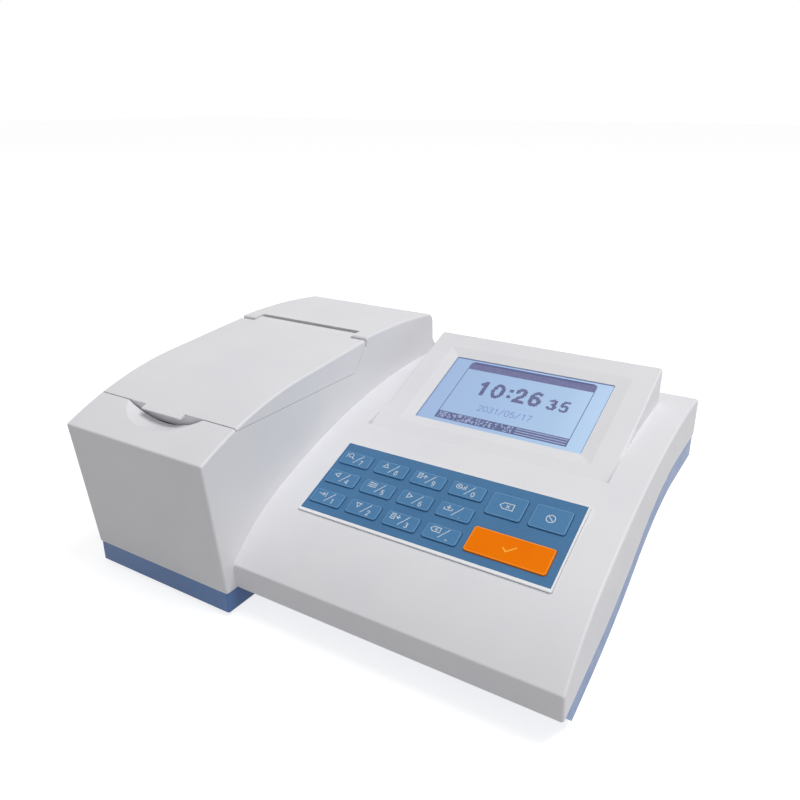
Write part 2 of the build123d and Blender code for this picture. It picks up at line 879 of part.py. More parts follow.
# ---- Light path: lamp, filter wheel, lens, cell, detector ----
tube_back = holder_back + lens_tube_length
wheel_front = tube_back + wheel_gap
wheel_back = wheel_front + wheel_thickness
bracket_front = wheel_back + wheel_gap
bracket_back = bracket_front + bracket_thickness
wheel_axis = (photometer_middle, wheel_height)
bench_screws = corners(bench_across, bench_along, bench_hole_inset)
bracket_screws = [
    (photometer_middle + x, bracket_front + bracket_foot - bracket_screw[1])
    for x in (-bracket_screw[0], bracket_screw[0])
]
motor_screws = [
    (photometer_middle - motor_screw, wheel_height),
    (photometer_middle + motor_screw, wheel_height),
]
lamp_screws = [(photometer_middle - lamp_screw, beam_height), (photometer_middle + lamp_screw, beam_height)]

with BuildPart() as optical_base:
    block(bench_across, bench_along, (bench_bottom, bench_top))
    bores(level_plane(bench_bottom), bench_screws + holder_screws + bracket_screws, bench_thickness)
optical_base.part.label = "optical_base"
export_step(optical_base.part, "parts/optical_base.step")

with BuildPart() as detector_board:
    board_back = holder_front - diode_gap
    plate(cross_plane(board_back), beam_axis, (diode_board, diode_board), board_thickness)
    bores(cross_plane(board_back), diode_posts, board_thickness)
detector_board.part.label = "detector_board"
export_step(detector_board.part, "parts/detector_board.step")

with BuildPart() as photodiode:
    rods(facing_back(holder_front - diode_gap), flipped([beam_axis]), diode_radius, diode_length)
    fillet(faces().sort_by(Axis.Y)[-1].edges(), diode_radius / 4)
photodiode.part.label = "photodiode"
export_step(photodiode.part, "parts/photodiode.step")

with BuildPart() as lens_tube:
    rods(facing_back(holder_back), flipped([beam_axis]), lens_tube_radius, lens_tube_length)
    plate(facing_back(holder_back), flipped([beam_axis])[0], lens_flange, lens_flange_thickness)
    rods(
        facing_back(holder_back),
        flipped([beam_axis]),
        lens_radius + screw_clearance,
        lens_tube_length,
        mode=Mode.SUBTRACT,
    )
    bores(facing_back(holder_back), flipped(lens_screws), lens_flange_thickness)
lens_tube.part.label = "lens_tube"
export_step(lens_tube.part, "parts/lens_tube.step")

with BuildPart() as condenser_lens:
    rods(facing_back(holder_back), flipped([beam_axis]), lens_radius, lens_thickness)
    dome_centre = (
        left + photometer_middle,
        front + holder_back + lens_thickness - lens_dome,
        foot_height + beam_height,
    )
    with Locations(dome_centre):
        Sphere(lens_dome, mode=Mode.INTERSECT)
condenser_lens.part.label = "condenser_lens"
export_step(condenser_lens.part, "parts/condenser_lens.step")

filter_places = [
    (
        photometer_middle + filter_circle * sin(radians(360 / filter_count * n)),
        wheel_height + filter_circle * cos(radians(360 / filter_count * n)),
    )
    for n in range(filter_count)
]

with BuildPart() as filter_wheel:
    rods(cross_plane(wheel_back), [wheel_axis], wheel_radius, wheel_thickness)
    rods(cross_plane(wheel_back + wheel_hub_length), [wheel_axis], wheel_hub_radius, wheel_hub_length)
    filter_hole = filter_radius - wheel_rim / 2
    rods(cross_plane(wheel_back), filter_places, filter_hole, wheel_thickness, mode=Mode.SUBTRACT)
    rods(
        cross_plane(wheel_back - wheel_rim),
        filter_places,
        filter_radius + filter_clearance,
        wheel_thickness,
        mode=Mode.SUBTRACT,
    )
    rods(
        cross_plane(wheel_back + wheel_hub_length),
        [wheel_axis],
        motor_shaft_radius,
        wheel_thickness + wheel_hub_length,
        mode=Mode.SUBTRACT,
    )
filter_wheel.part.label = "filter_wheel"
export_step(filter_wheel.part, "parts/filter_wheel.step")

with BuildPart() as filters:
    rods(cross_plane(wheel_back - wheel_rim), filter_places, filter_radius, wheel_thickness - wheel_rim)
filters.part.label = "filters"
export_step(filters.part, "parts/filters.step")

with BuildPart() as motor_shaft:
    shaft_back = bracket_back + shaft_grip
    rods(cross_plane(shaft_back), [wheel_axis], motor_shaft_radius, shaft_back - wheel_front)
motor_shaft.part.label = "motor_shaft"
export_step(motor_shaft.part, "parts/motor_shaft.step")

with BuildPart() as motor_bracket:
    across = (photometer_middle - bracket_width / 2, photometer_middle + bracket_width / 2)
    block(across, (bracket_front, bracket_back), (bench_top, bracket_top))
    block(across, (bracket_front, bracket_front + bracket_foot), (bench_top, bench_top + bracket_thickness))
    bores(level_plane(bench_top), bracket_screws, bracket_thickness)
    bores(cross_plane(bracket_back), motor_screws + lamp_screws, bracket_thickness)
    rods(cross_plane(bracket_back), [wheel_axis], wheel_hub_radius, bracket_thickness, mode=Mode.SUBTRACT)
    rods(cross_plane(bracket_back), [beam_axis], beam_radius, bracket_thickness, mode=Mode.SUBTRACT)
motor_bracket.part.label = "motor_bracket"
export_step(motor_bracket.part, "parts/motor_bracket.step")

with BuildPart() as wheel_motor:
    rods(facing_back(bracket_back), flipped([wheel_axis]), motor_radius, motor_length)
    rods(
        facing_back(bracket_back),
        flipped([wheel_axis]),
        motor_shaft_radius + screw_clearance,
        shaft_grip + overcut,
        mode=Mode.SUBTRACT,
    )
    bores(facing_back(bracket_back), flipped(motor_screws), small_screw_bite + overcut)
wheel_motor.part.label = "wheel_motor"
export_step(wheel_motor.part, "parts/wheel_motor.step")

with BuildPart() as lamp_housing:
    rods(facing_back(bracket_back), flipped([beam_axis]), lamp_housing_radius, lamp_housing_length)
    plate(facing_back(bracket_back), flipped([beam_axis])[0], lamp_ear, lamp_ear_thickness)
    rods(
        facing_back(bracket_back),
        flipped([beam_axis]),
        lamp_cavity,
        lamp_housing_length - lamp_ear_thickness,
        mode=Mode.SUBTRACT,
    )
    bores(facing_back(bracket_back), flipped(lamp_screws), lamp_ear_thickness)
lamp_housing.part.label = "lamp_housing"
export_step(lamp_housing.part, "parts/lamp_housing.step")

with BuildPart() as lamp:
    lamp_back = bracket_back + lamp_housing_length - lamp_ear_thickness
    rods(cross_plane(lamp_back), [beam_axis], lamp_radius, lamp_length)
    fillet(faces().sort_by(Axis.Y)[0].edges(), lamp_radius * 0.9)
lamp.part.label = "lamp"
export_step(lamp.part, "parts/lamp.step")

# ---- Console cover ----
window_seat = display_plane.offset(-(bezel_depth + window_lip))
lens_size = grow((window_width, window_length), lens_plate_margin)
board_depth = bezel_depth + window_lip + lens_plate_thickness + lcd_gap + lcd_depth
lcd_holes = corners(
    (-lcd_board_width / 2, lcd_board_width / 2),
    (-lcd_board_length / 2, lcd_board_length / 2),
    lcd_hole_inset,
)
frame_size = (pad_width + pad_border[0] + pad_border[1], pad_length + pad_border[2] + pad_border[3])
frame_centre = (
    (pad_width + pad_border[1] - pad_border[0]) / 2,
    (pad_length + pad_border[3] - pad_border[2]) / 2,
)
pad_opening = (frame_size[0] - pad_ledge[0] - pad_ledge[1], frame_size[1] - pad_ledge[2] - pad_ledge[3])
pad_opening_centre = (
    frame_centre[0] + (pad_ledge[0] - pad_ledge[1]) / 2,
    frame_centre[1] + (pad_ledge[2] - pad_ledge[3]) / 2,
)
console_crest = (shoulder, roof_height(shoulder))
console_rear = (case_depth, roof_height(case_depth))

with BuildSketch() as console_profile:
    with BuildLine():
        Polyline(nose, (nose_foot, 0), (case_depth, 0), console_rear)
        halfway = (shoulder + case_depth) / 2
        ThreePointArc(console_crest, (halfway, roof_height(halfway)), console_rear)
        steepest = asin((roof_top_depth - shoulder) / roof_radius)
        TangentArc(console_crest, nose, tangent=(-cos(steepest), -sin(steepest)))
    make_face()
    fillet(vertices().sort_by_distance(nose)[0], console_nose_round)
    fillet(vertices().sort_by_distance(console_rear)[0], console_rear_round)

with BuildSketch() as console_inside:
    add(console_profile.sketch)
    offset(amount=-wall)

with BuildPart() as hump:
    block((hump_across, hump_across + hump_width), (hump_front, hump_back), (case_post_top, tall))
    fillet(edges().filter_by(Axis.Z), hump_round)
    plate(toe_plane, (hump_width / 2, 0), (2 * tall, 2 * tall), -tall, mode=Mode.INTERSECT)
    fillet(faces().sort_by(Axis.Z)[-1].edges(), edge_round)

with BuildPart() as above_hump:
    block((hump_across, hump_across + hump_width), (hump_front, hump_toe), (case_post_top, tall))
    plate(toe_plane, (hump_width / 2, 0), (2 * tall, 2 * tall), tall, mode=Mode.INTERSECT)

with BuildPart() as console_hollow:
    with BuildSketch(side_plane(photometer_width - overcut)):
        add(console_inside.sketch)
    extrude(amount=console_width + overcut - wall)
    hump_length = (hump_back - hump_front) / cos(radians(hump_slope))
    plate(
        toe_plane,
        (hump_width / 2, (hump_front - hump_toe) / cos(radians(hump_slope)) + hump_length / 2),
        grow((hump_width, hump_length), wall),
        -wall,
        mode=Mode.SUBTRACT,
    )
    plate(
        pad_plane.offset(-pad_frame_thickness),
        frame_centre,
        grow(frame_size, pad_clearance + wall),
        -pad_backing,
        mode=Mode.SUBTRACT,
    )
    rods(level_plane(case_post_top), console_posts, case_post_radius, tall, mode=Mode.SUBTRACT)

with BuildPart() as hump_hollow:
    block(
        (hump_across + wall, hump_across + hump_width - wall),
        (hump_front + wall, hump_back - wall),
        (case_post_top, tall),
    )
    plate(toe_plane.offset(-wall), (hump_width / 2, 0), (2 * tall, 2 * tall), -tall, mode=Mode.INTERSECT)

with BuildPart() as console_cover:
    with BuildSketch(side_plane(photometer_width)):
        add(console_profile.sketch)
    extrude(amount=console_width)
    right_end = faces().sort_by(Axis.X)[-1].edges()
    fillet(right_end.filter_by(lambda e: e.center().Z > foot_height + console_round), console_round)
    add(above_hump.part, mode=Mode.SUBTRACT)
    add(hump.part)
    add(console_hollow.part, mode=Mode.SUBTRACT)
    add(hump_hollow.part, mode=Mode.SUBTRACT)
    with BuildSketch(display_plane):
        RectangleRounded(bezel_width, bezel_length, bezel_round)
    with BuildSketch(display_plane.offset(-bezel_depth)):
        RectangleRounded(window_width + 2 * window_step, window_length + 2 * window_step, window_round)
    loft(mode=Mode.SUBTRACT)
    plate(display_plane, (0, 0), (window_width, window_length), -2 * wall, window_round, mode=Mode.SUBTRACT)
    plate(window_seat, (0, 0), grow(lens_size, fitting_gap), -wall, mode=Mode.SUBTRACT)
    pad_seat = pad_plane.offset(-pad_frame_thickness)
    plate(pad_seat, frame_centre, grow(frame_size, pad_clearance), reach, pad_round, mode=Mode.SUBTRACT)
    plate(pad_seat, pad_opening_centre, pad_opening, -2 * pad_backing, mode=Mode.SUBTRACT)
    rods(display_plane.offset(-wall / 2), lcd_holes, boss_radius, wall / 2 - board_depth)
    bores(display_plane.offset(-board_depth), lcd_holes, small_screw_bite + overcut)
    extrude(below_rim(-reach, 0, -reach), amount=case_width + 2 * reach, mode=Mode.SUBTRACT)
    rods(
        level_plane(case_post_top),
        console_posts,
        case_screw_radius + screw_clearance,
        case_screw_bite + overcut,
        mode=Mode.SUBTRACT,
    )
console_cover.part.label = "console_cover"
export_step(console_cover.part, "parts/console_cover.step")

# ---- Display, stacked behind the window ----
with BuildPart() as display_window:
    plate(window_seat, (0, 0), lens_size, -lens_plate_thickness)
display_window.part.label = "display_window"
export_step(display_window.part, "parts/display_window.step")

bezel_top = window_seat.offset(-(lens_plate_thickness + lcd_gap))
view_size = grow((window_width, window_length), lcd_view_margin)
inside_size = grow((lcd_width, lcd_length), -lcd_sheet)

with BuildPart() as lcd_bezel:
    plate(bezel_top, (0, 0), (lcd_width, lcd_length), -lcd_depth)
    plate(bezel_top.offset(-lcd_sheet), (0, 0), inside_size, -lcd_depth, mode=Mode.SUBTRACT)
    plate(bezel_top, (0, 0), view_size, -lcd_sheet, mode=Mode.SUBTRACT)
lcd_bezel.part.label = "lcd_bezel"
export_step(lcd_bezel.part, "parts/lcd_bezel.step")

with BuildPart() as lcd_glass:
    plate(bezel_top.offset(-lcd_sheet), (0, 0), inside_size, -lcd_glass_thickness)
lcd_glass.part.label = "lcd_glass"
export_step(lcd_glass.part, "parts/lcd_glass.step")

with BuildPart() as lcd_backlight:
    light_top = lcd_sheet + lcd_glass_thickness
    plate(bezel_top.offset(-light_top), (0, 0), inside_size, light_top - lcd_depth)
lcd_backlight.part.label = "lcd_backlight"
export_step(lcd_backlight.part, "parts/lcd_backlight.step")

with BuildPart() as lcd_board:
    under_board = display_plane.offset(-board_depth - board_thickness)
    plate(display_plane.offset(-board_depth), (0, 0), (lcd_board_width, lcd_board_length), -board_thickness)
    display_plug = (left + ribbon_across - display_plane.origin.X, -display_plug_down_slope)
    plate(under_board, display_plug, plug_size, -plug_height)
    bores(under_board, lcd_holes, board_thickness)
lcd_board.part.label = "lcd_board"
export_step(lcd_board.part, "parts/lcd_board.step")

# ---- Keypad ----
key_size = (key_width, key_length)
key_columns = [key_margin[0] + key_width / 2 + step * key_pitch[0] for step in range(6)]
key_rows = [key_margin[2] + key_length / 2 + step * key_pitch[1] for step in (2, 1, 0)]
key_names = (
    ("key_7", "key_8", "key_9", "key_0"),
    ("key_4", "key_5", "key_6", "key_dot"),
    ("key_1", "key_2", "key_3", "key_minus"),
)
keys = {
    name: ((key_columns[column], key_rows[row]), key_size)
    for row, names in enumerate(key_names)
    for column, name in enumerate(names)
}
wide_key_foot = key_rows[0] + key_length / 2 - wide_key_length
enter_key_head = key_rows[-1] - key_length / 2 + enter_key_length
for name, across in (("key_clear", key_columns[4]), ("key_cancel", key_columns[5])):
    keys[name] = ((across, wide_key_foot + wide_key_length / 2), (key_width, wide_key_length))
enter_key_across = (key_columns[4] + key_columns[5]) / 2
keys["key_enter"] = (
    (enter_key_across, enter_key_head - enter_key_length / 2),
    (key_width + key_pitch[0], enter_key_length),
)
keypad_posts = [
    (key_columns[column] + key_pitch[0] / 2, key_rows[row] - key_pitch[1] / 2)
    for column in (0, 2)
    for row in (0, 1)
]
keypad_posts.append((enter_key_across, (wide_key_foot + enter_key_head) / 2))

flange_top = pad_frame_thickness + key_flange_gap
flange_bottom = flange_top + key_flange_thickness
switch_top = flange_bottom + key_travel + key_stop_gap
stem_end = switch_top + key_stem_reach
switch_well = stem_end + key_travel + key_stop_gap
switch_bottom = switch_well + switch_floor


def key_holes(height):
    # Openings in the frame and overlay, cut down from a height above the pad.
    for place, size in keys.values():
        hole = grow(size, key_clearance)
        plate(pad_plane.offset(height), place, hole, -reach, key_round + key_clearance, mode=Mode.SUBTRACT)


with BuildPart() as keypad_frame:
    plate(pad_seat, frame_centre, frame_size, pad_frame_thickness, pad_round)
    sticker = grow((pad_width, pad_length), fitting_gap)
    sticker_seat = pad_plane.offset(-pad_overlay_thickness)
    plate(sticker_seat, (pad_width / 2, pad_length / 2), sticker, reach, mode=Mode.SUBTRACT)
    key_holes(reach / 2)
    rods(pad_seat, keypad_posts, keypad_post_radius, pad_frame_thickness - switch_bottom)
    bores(pad_plane.offset(-switch_bottom), keypad_posts, small_screw_bite)
keypad_frame.part.label = "keypad_frame"
export_step(keypad_frame.part, "parts/keypad_frame.step")

with BuildPart() as keypad_overlay:
    plate(sticker_seat, (pad_width / 2, pad_length / 2), (pad_width, pad_length), pad_overlay_thickness)
    key_holes(reach / 2)
keypad_overlay.part.label = "keypad_overlay"
export_step(keypad_overlay.part, "parts/keypad_overlay.step")

for name, (place, size) in keys.items():
    with BuildPart() as key:
        plate(pad_plane.offset(-flange_top), place, size, flange_top + key_height, key_round)
        crown = faces().sort_by(Axis((0, 0, 0), tuple(pad_plane.z_dir)))[-1]
        fillet(crown.edges(), key_top_round)
        flange = grow(size, key_flange)
        flange_round = key_round + key_flange
        plate(pad_plane.offset(-flange_top), place, flange, -key_flange_thickness, flange_round)
        rods(pad_plane.offset(-flange_bottom), [place], key_stem_radius, flange_bottom - stem_end)
    key.part.label = name
    export_step(key.part, f"parts/{name}.step")

with BuildPart() as keypad_board:
    under_keys = pad_plane.offset(-switch_bottom - board_thickness)
    board_size = (
        keypad_board_edges[0][1] - keypad_board_edges[0][0],
        keypad_board_edges[1][1] - keypad_board_edges[1][0],
    )
    board_centre = (
        (keypad_board_edges[0][0] + keypad_board_edges[0][1]) / 2,
        (keypad_board_edges[1][0] + keypad_board_edges[1][1]) / 2,
    )
    plate(under_keys, board_centre, board_size, board_thickness)
    keypad_plug = (ribbon_across - pad_across, board_centre[1])
    plate(under_keys, keypad_plug, plug_size, -plug_height)
    bores(under_keys, keypad_posts, board_thickness)
keypad_board.part.label = "keypad_board"
export_step(keypad_board.part, "parts/keypad_board.step")

with BuildPart() as key_switches:
    for place, _ in keys.values():
        floor_plane = pad_plane.offset(-switch_bottom)
        plate(floor_plane, place, (switch_size, switch_size), switch_bottom - switch_top)
        well = key_stem_radius + switch_well_gap
        rods(pad_plane.offset(-switch_well), [place], well, switch_well - switch_top, mode=Mode.SUBTRACT)
key_switches.part.label = "key_switches"
export_step(key_switches.part, "parts/key_switches.step")

# ---- Tray ----
rear_face = case_depth - tray_inset
lip_start = nose_foot - (nose_foot - nose[0]) * rim_front[1] / nose[1]
inner_lift = wall / sin(radians(flank_angle))
long_width = case_width + 2 * reach
rear_wall = cross_plane(rear_face)
bench_posts = bench_screws
main_holes = corners(*main_board_edges, board_hole_inset)
supply_holes = corners(*supply_board_edges, board_hole_inset)
case_posts = photometer_posts + console_posts

with BuildPart() as tray_hollow:
    extrude(footprint(tray_nose - tray_inset, tray_inset + wall), amount=tall)
    block((0, case_width), (0, case_depth), (0, floor_thickness), mode=Mode.SUBTRACT)
    add(below_flanks(inner_lift, tray_inset + wall), mode=Mode.SUBTRACT)

with BuildPart() as tray_lip:
    extrude(footprint(lip_start, wall + lip_gap), amount=tall)
    extrude(footprint(lip_start, wall + lip_gap + lip_thickness), amount=tall, mode=Mode.SUBTRACT)
    extrude(below_rim(-reach, lip_height, -reach), amount=long_width, mode=Mode.INTERSECT)
    extrude(below_rim(-reach, -lip_root, -reach), amount=long_width, mode=Mode.SUBTRACT)
    add(below_flanks(0, tray_inset), mode=Mode.SUBTRACT)
    parting = (photometer_width - wall - 2 * lip_gap, photometer_width + 2 * lip_gap)
    block(parting, (0, case_depth), (0, tall), mode=Mode.SUBTRACT)

with BuildPart() as tray_posts:
    post_foot = floor_thickness / 2
    rods(level_plane(post_foot), case_posts, case_post_radius, case_post_top - post_foot)
    rods(level_plane(post_foot), bench_posts, board_post_radius, bench_bottom - post_foot)
    rods(level_plane(post_foot), main_holes + supply_holes, board_post_radius, main_board_height - post_foot)
    add(below_flanks(inner_lift / 2, tray_inset + wall / 2), mode=Mode.SUBTRACT)

with BuildPart() as base_tray:
    extrude(footprint(tray_nose - tray_inset, tray_inset), amount=tall)
    fillet(edges().filter_by(Axis.Z), tray_corner)
    extrude(below_rim(-reach, -seam_gap, -reach), amount=long_width, mode=Mode.INTERSECT)
    add(below_flanks(0, tray_inset), mode=Mode.SUBTRACT)
    add(tray_hollow.part, mode=Mode.SUBTRACT)
    add(tray_lip.part)
    add(tray_posts.part)
    for holes in (main_holes, supply_holes):
        bores(level_plane(main_board_height - small_screw_bite), holes, small_screw_bite)
    bores(level_plane(bench_bottom - small_screw_bite), bench_posts, small_screw_bite)
    rods(level_plane(0), case_posts, case_screw_radius + screw_clearance, case_post_top, mode=Mode.SUBTRACT)
    sink = case_post_top - case_screw_land
    rods(level_plane(0), case_posts, case_screw_head + seam_gap, sink, mode=Mode.SUBTRACT)
    plate(rear_wall, inlet_centre, grow(inlet_body, fitting_gap), wall, mode=Mode.SUBTRACT)
    plate(rear_wall, rocker_centre, grow(switch_body, fitting_gap), wall, mode=Mode.SUBTRACT)
    plate(rear_wall, port_centre, grow(port_body, fitting_gap), wall, mode=Mode.SUBTRACT)
    rods(rear_wall, [fuse_centre], fuse_body_radius + fitting_gap, wall, mode=Mode.SUBTRACT)
base_tray.part.label = "base_tray"
export_step(base_tray.part, "parts/base_tray.step")

with BuildPart() as feet:
    rods(level_plane(-foot_height), foot_places, foot_radius, foot_height)
    fillet(faces().group_by(Axis.Z)[0].edges(), foot_round)
feet.part.label = "feet"
export_step(feet.part, "parts/feet.step")

with BuildPart() as case_screws:
    rods(level_plane(sink), case_posts, case_screw_radius, case_screw_land + case_screw_bite)
    rods(level_plane(sink), case_posts, case_screw_head, -case_screw_head_height)
case_screws.part.label = "case_screws"
export_step(case_screws.part, "parts/case_screws.step")

# ---- Electronics ----
board_top = main_board_height + board_thickness

with BuildPart() as main_board:
    block(*main_board_edges, (main_board_height, board_top))
    bores(level_plane(main_board_height), main_holes, board_thickness)
main_board.part.label = "main_board"
export_step(main_board.part, "parts/main_board.step")

with BuildPart() as board_components:
    for place in chip_places:
        plate(level_plane(board_top), place, chip_size, chip_height)
    for back in (keypad_ribbon_back, display_ribbon_back):
        plate(level_plane(board_top), (ribbon_across, back), plug_size, plug_height)
board_components.part.label = "board_components"
export_step(board_components.part, "parts/board_components.step")

with BuildPart() as power_supply:
    block(*supply_board_edges, (main_board_height, board_top))
    block(*transformer, (board_top, board_top + transformer_height))
    rods(level_plane(board_top), capacitor_places, capacitor_radius, capacitor_height)
    bores(level_plane(main_board_height), supply_holes, board_thickness)
power_supply.part.label = "power_supply"
export_step(power_supply.part, "parts/power_supply.step")

with BuildPart() as board_screws:
    for holes in (main_holes, supply_holes):
        screws(facing_down(board_top), flipped(holes), board_thickness + small_screw_bite - screw_tip_gap)
    screws(under_board, lcd_holes, board_thickness + small_screw_bite)
    screws(under_keys, keypad_posts, board_thickness + small_screw_bite - screw_tip_gap)
    screws(
        facing_back(holder_front - diode_gap - board_thickness),
        flipped(diode_posts),
        board_thickness + small_screw_bite,
    )
    screws(level_plane(bench_bottom), holder_screws, bench_thickness + small_screw_bite)
    bench_screw_length = bench_thickness + small_screw_bite - screw_tip_gap
    screws(facing_down(bench_top), flipped(bench_screws), bench_screw_length)
    screws(facing_down(bench_top + bracket_thickness), flipped(bracket_screws), bench_thickness)
    screws(facing_back(bracket_front), flipped(motor_screws), bracket_thickness + small_screw_bite)
    screws(facing_back(bracket_front), flipped(lamp_screws), bracket_thickness + lamp_ear_thickness)
    screws(
        cross_plane(holder_back + lens_flange_thickness),
        lens_screws,
        lens_flange_thickness + small_screw_bite,
    )
board_screws.part.label = "board_screws"
export_step(board_screws.part, "parts/board_screws.step")


def side_point(plane, place, depth):
    # A point below a panel plane, as seen from the side.
    point = plane.offset(-depth).from_local_coords((place[0], place[1], 0))
    return (point.Y - front, point.Z - foot_height)


ribbon_left = ribbon_across - ribbon_width / 2
socket_top = board_top + plug_height
ribbons = {
    "display_ribbon": (
        side_point(under_board, display_plug, plug_height),
        side_point(under_board, display_plug, plug_height + ribbon_lead),
        display_ribbon_back,
    ),
    "keypad_ribbon": (
        side_point(under_keys, keypad_plug, plug_height),
        side_point(under_keys, keypad_plug, plug_height + ribbon_lead),
        keypad_ribbon_back,
    ),
}
for name, (start, bend, back) in ribbons.items():
    with BuildSketch() as ribbon_path:
        with BuildLine():
            elbow = (back, socket_top + ribbon_lead)
            run = Polyline(start, bend, elbow, (back, socket_top))
            fillet(run.vertices().sort_by_distance(bend)[0], ribbon_bend)
            fillet(vertices().sort_by_distance(elbow)[0], ribbon_bend)
        trace(line_width=ribbon_thickness)
    with BuildPart() as ribbon:
        with BuildSketch(side_plane(ribbon_left)):
            add(ribbon_path.sketch)
        extrude(amount=ribbon_width)
    ribbon.part.label = name
    export_step(ribbon.part, f"parts/{name}.step")

# ---- Rear fittings ----
with BuildPart() as power_inlet:
    plate(rear_wall, inlet_centre, inlet_flange, -inlet_flange_thickness, inlet_round)
    plate(rear_wall, inlet_centre, inlet_body, inlet_depth)
    mouth = cross_plane(rear_face + inlet_flange_thickness)
    plate(mouth, inlet_centre, inlet_mouth, inlet_mouth_depth, mode=Mode.SUBTRACT)
power_inlet.part.label = "power_inlet"
export_step(power_inlet.part, "parts/power_inlet.step")

with BuildPart() as inlet_pins:
    for across, up in inlet_pin_places:
        place = (inlet_centre[0] + across, inlet_centre[1] + up)
        plate(mouth.offset(inlet_mouth_depth), place, inlet_pin, -inlet_pin_length)
inlet_pins.part.label = "inlet_pins"
export_step(inlet_pins.part, "parts/inlet_pins.step")

rocker_axis = (rear_face - rocker_pivot_depth, rocker_centre[1])

with BuildPart() as rocker_housing:
    plate(rear_wall, rocker_centre, switch_flange, -switch_flange_thickness, inlet_round)
    plate(rear_wall, rocker_centre, switch_body, switch_depth)
    mouth = cross_plane(rear_face + switch_flange_thickness)
    plate(mouth, rocker_centre, switch_mouth, switch_mouth_depth, mode=Mode.SUBTRACT)
    rods(
        side_plane(rocker_centre[0] - rocker_width / 2 - rocker_axle_reach),
        [rocker_axis],
        rocker_axle_radius + rocker_axle_gap,
        rocker_width + 2 * rocker_axle_reach,
        mode=Mode.SUBTRACT,
    )
rocker_housing.part.label = "rocker_housing"
export_step(rocker_housing.part, "parts/rocker_housing.step")

with BuildPart() as power_rocker:
    with BuildSketch(side_plane(rocker_centre[0] - rocker_width / 2)):
        with Locations(Location(rocker_axis, rocker_tilt)):
            Polygon(
                (rocker_dip, rocker_half_length),
                (rocker_crest, 0),
                (rocker_dip, -rocker_half_length),
                (0, -rocker_half_length),
                (-rocker_keel, 0),
                (0, rocker_half_length),
                align=None,
            )
    extrude(amount=rocker_width)
    rods(
        side_plane(rocker_centre[0] - rocker_width / 2 - rocker_axle_reach),
        [rocker_axis],
        rocker_axle_radius,
        rocker_width + 2 * rocker_axle_reach,
    )
power_rocker.part.label = "power_rocker"
export_step(power_rocker.part, "parts/power_rocker.step")

with BuildPart() as fuse_holder:
    rods(rear_wall, [fuse_centre], fuse_cap_radius, -rear_proud)
    rods(rear_wall, [fuse_centre], fuse_body_radius, fuse_depth)
    slot_plane = cross_plane(rear_face + rear_proud)
    plate(slot_plane, fuse_centre, fuse_slot, fuse_slot_depth, mode=Mode.SUBTRACT)
fuse_holder.part.label = "fuse_holder"
export_step(fuse_holder.part, "parts/fuse_holder.step")

with BuildPart() as data_port:
    plate(rear_wall, port_centre, port_plate, -port_plate_thickness)
    plate(rear_wall, port_centre, port_body, port_depth)
    plate(rear_wall, port_centre, port_shell, -rear_proud, port_shell_round)
    socket = grow(port_shell, -port_plate_thickness)
    plate(
        slot_plane,
        port_centre,
        socket,
        rear_proud - port_plate_thickness,
        port_shell_round - port_plate_thickness,
        mode=Mode.SUBTRACT,
    )
    jacks = [(port_centre[0] - jack_spread, port_centre[1]), (port_centre[0] + jack_spread, port_centre[1])]
    rods(rear_wall, jacks, jack_radius, -rear_proud)
data_port.part.label = "data_port"
export_step(data_port.part, "parts/data_port.step")
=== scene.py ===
import math
import random

import bmesh
import bpy
from mathutils import Matrix, Vector


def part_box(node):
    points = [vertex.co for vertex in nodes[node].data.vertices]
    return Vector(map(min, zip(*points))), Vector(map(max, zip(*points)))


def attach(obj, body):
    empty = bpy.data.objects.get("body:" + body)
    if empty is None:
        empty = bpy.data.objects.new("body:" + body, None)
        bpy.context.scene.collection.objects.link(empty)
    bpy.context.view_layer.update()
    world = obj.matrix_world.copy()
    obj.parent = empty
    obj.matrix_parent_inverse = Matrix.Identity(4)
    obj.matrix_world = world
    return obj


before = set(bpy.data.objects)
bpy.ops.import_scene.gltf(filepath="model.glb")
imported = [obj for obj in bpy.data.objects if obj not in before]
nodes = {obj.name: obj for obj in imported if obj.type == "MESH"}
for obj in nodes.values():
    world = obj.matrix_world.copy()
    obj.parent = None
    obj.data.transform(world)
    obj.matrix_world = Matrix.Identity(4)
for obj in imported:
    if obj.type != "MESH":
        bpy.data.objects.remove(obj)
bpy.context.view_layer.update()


def tone(red, green, blue):  # a screen colour, 0 to 255, as Blender's linear colour by the sRGB curve
    def linear(level):
        share = level / 255
        return share / 12.92 if share <= 0.04045 else ((share + 0.055) / 1.055) ** 2.4
    return (linear(red), linear(green), linear(blue), 1.0)


class Signal:  # a shader socket that can stand in a sum
    def __init__(self, finish, socket):
        self.finish = finish
        self.socket = socket

    def maths(self, operation, first, second):
        return self.finish.node("ShaderNodeMath", {"operation": operation}, {0: first, 1: second})

    def __add__(self, other):
        return self.maths("ADD", self, other)

    def __radd__(self, other):
        return self.maths("ADD", other, self)

    def __sub__(self, other):
        return self.maths("SUBTRACT", self, other)

    def __rsub__(self, other):
        return self.maths("SUBTRACT", other, self)

    def __mul__(self, other):
        return self.maths("MULTIPLY", self, other)

    def __rmul__(self, other):
        return self.maths("MULTIPLY", other, self)

    def __pow__(self, other):
        return self.maths("POWER", self, other)

    def __rpow__(self, other):
        return self.maths("POWER", other, self)


noiseSpan = (0.3, 0.7)      # where most of a noise's values lie
noiseMiddle = 0.5


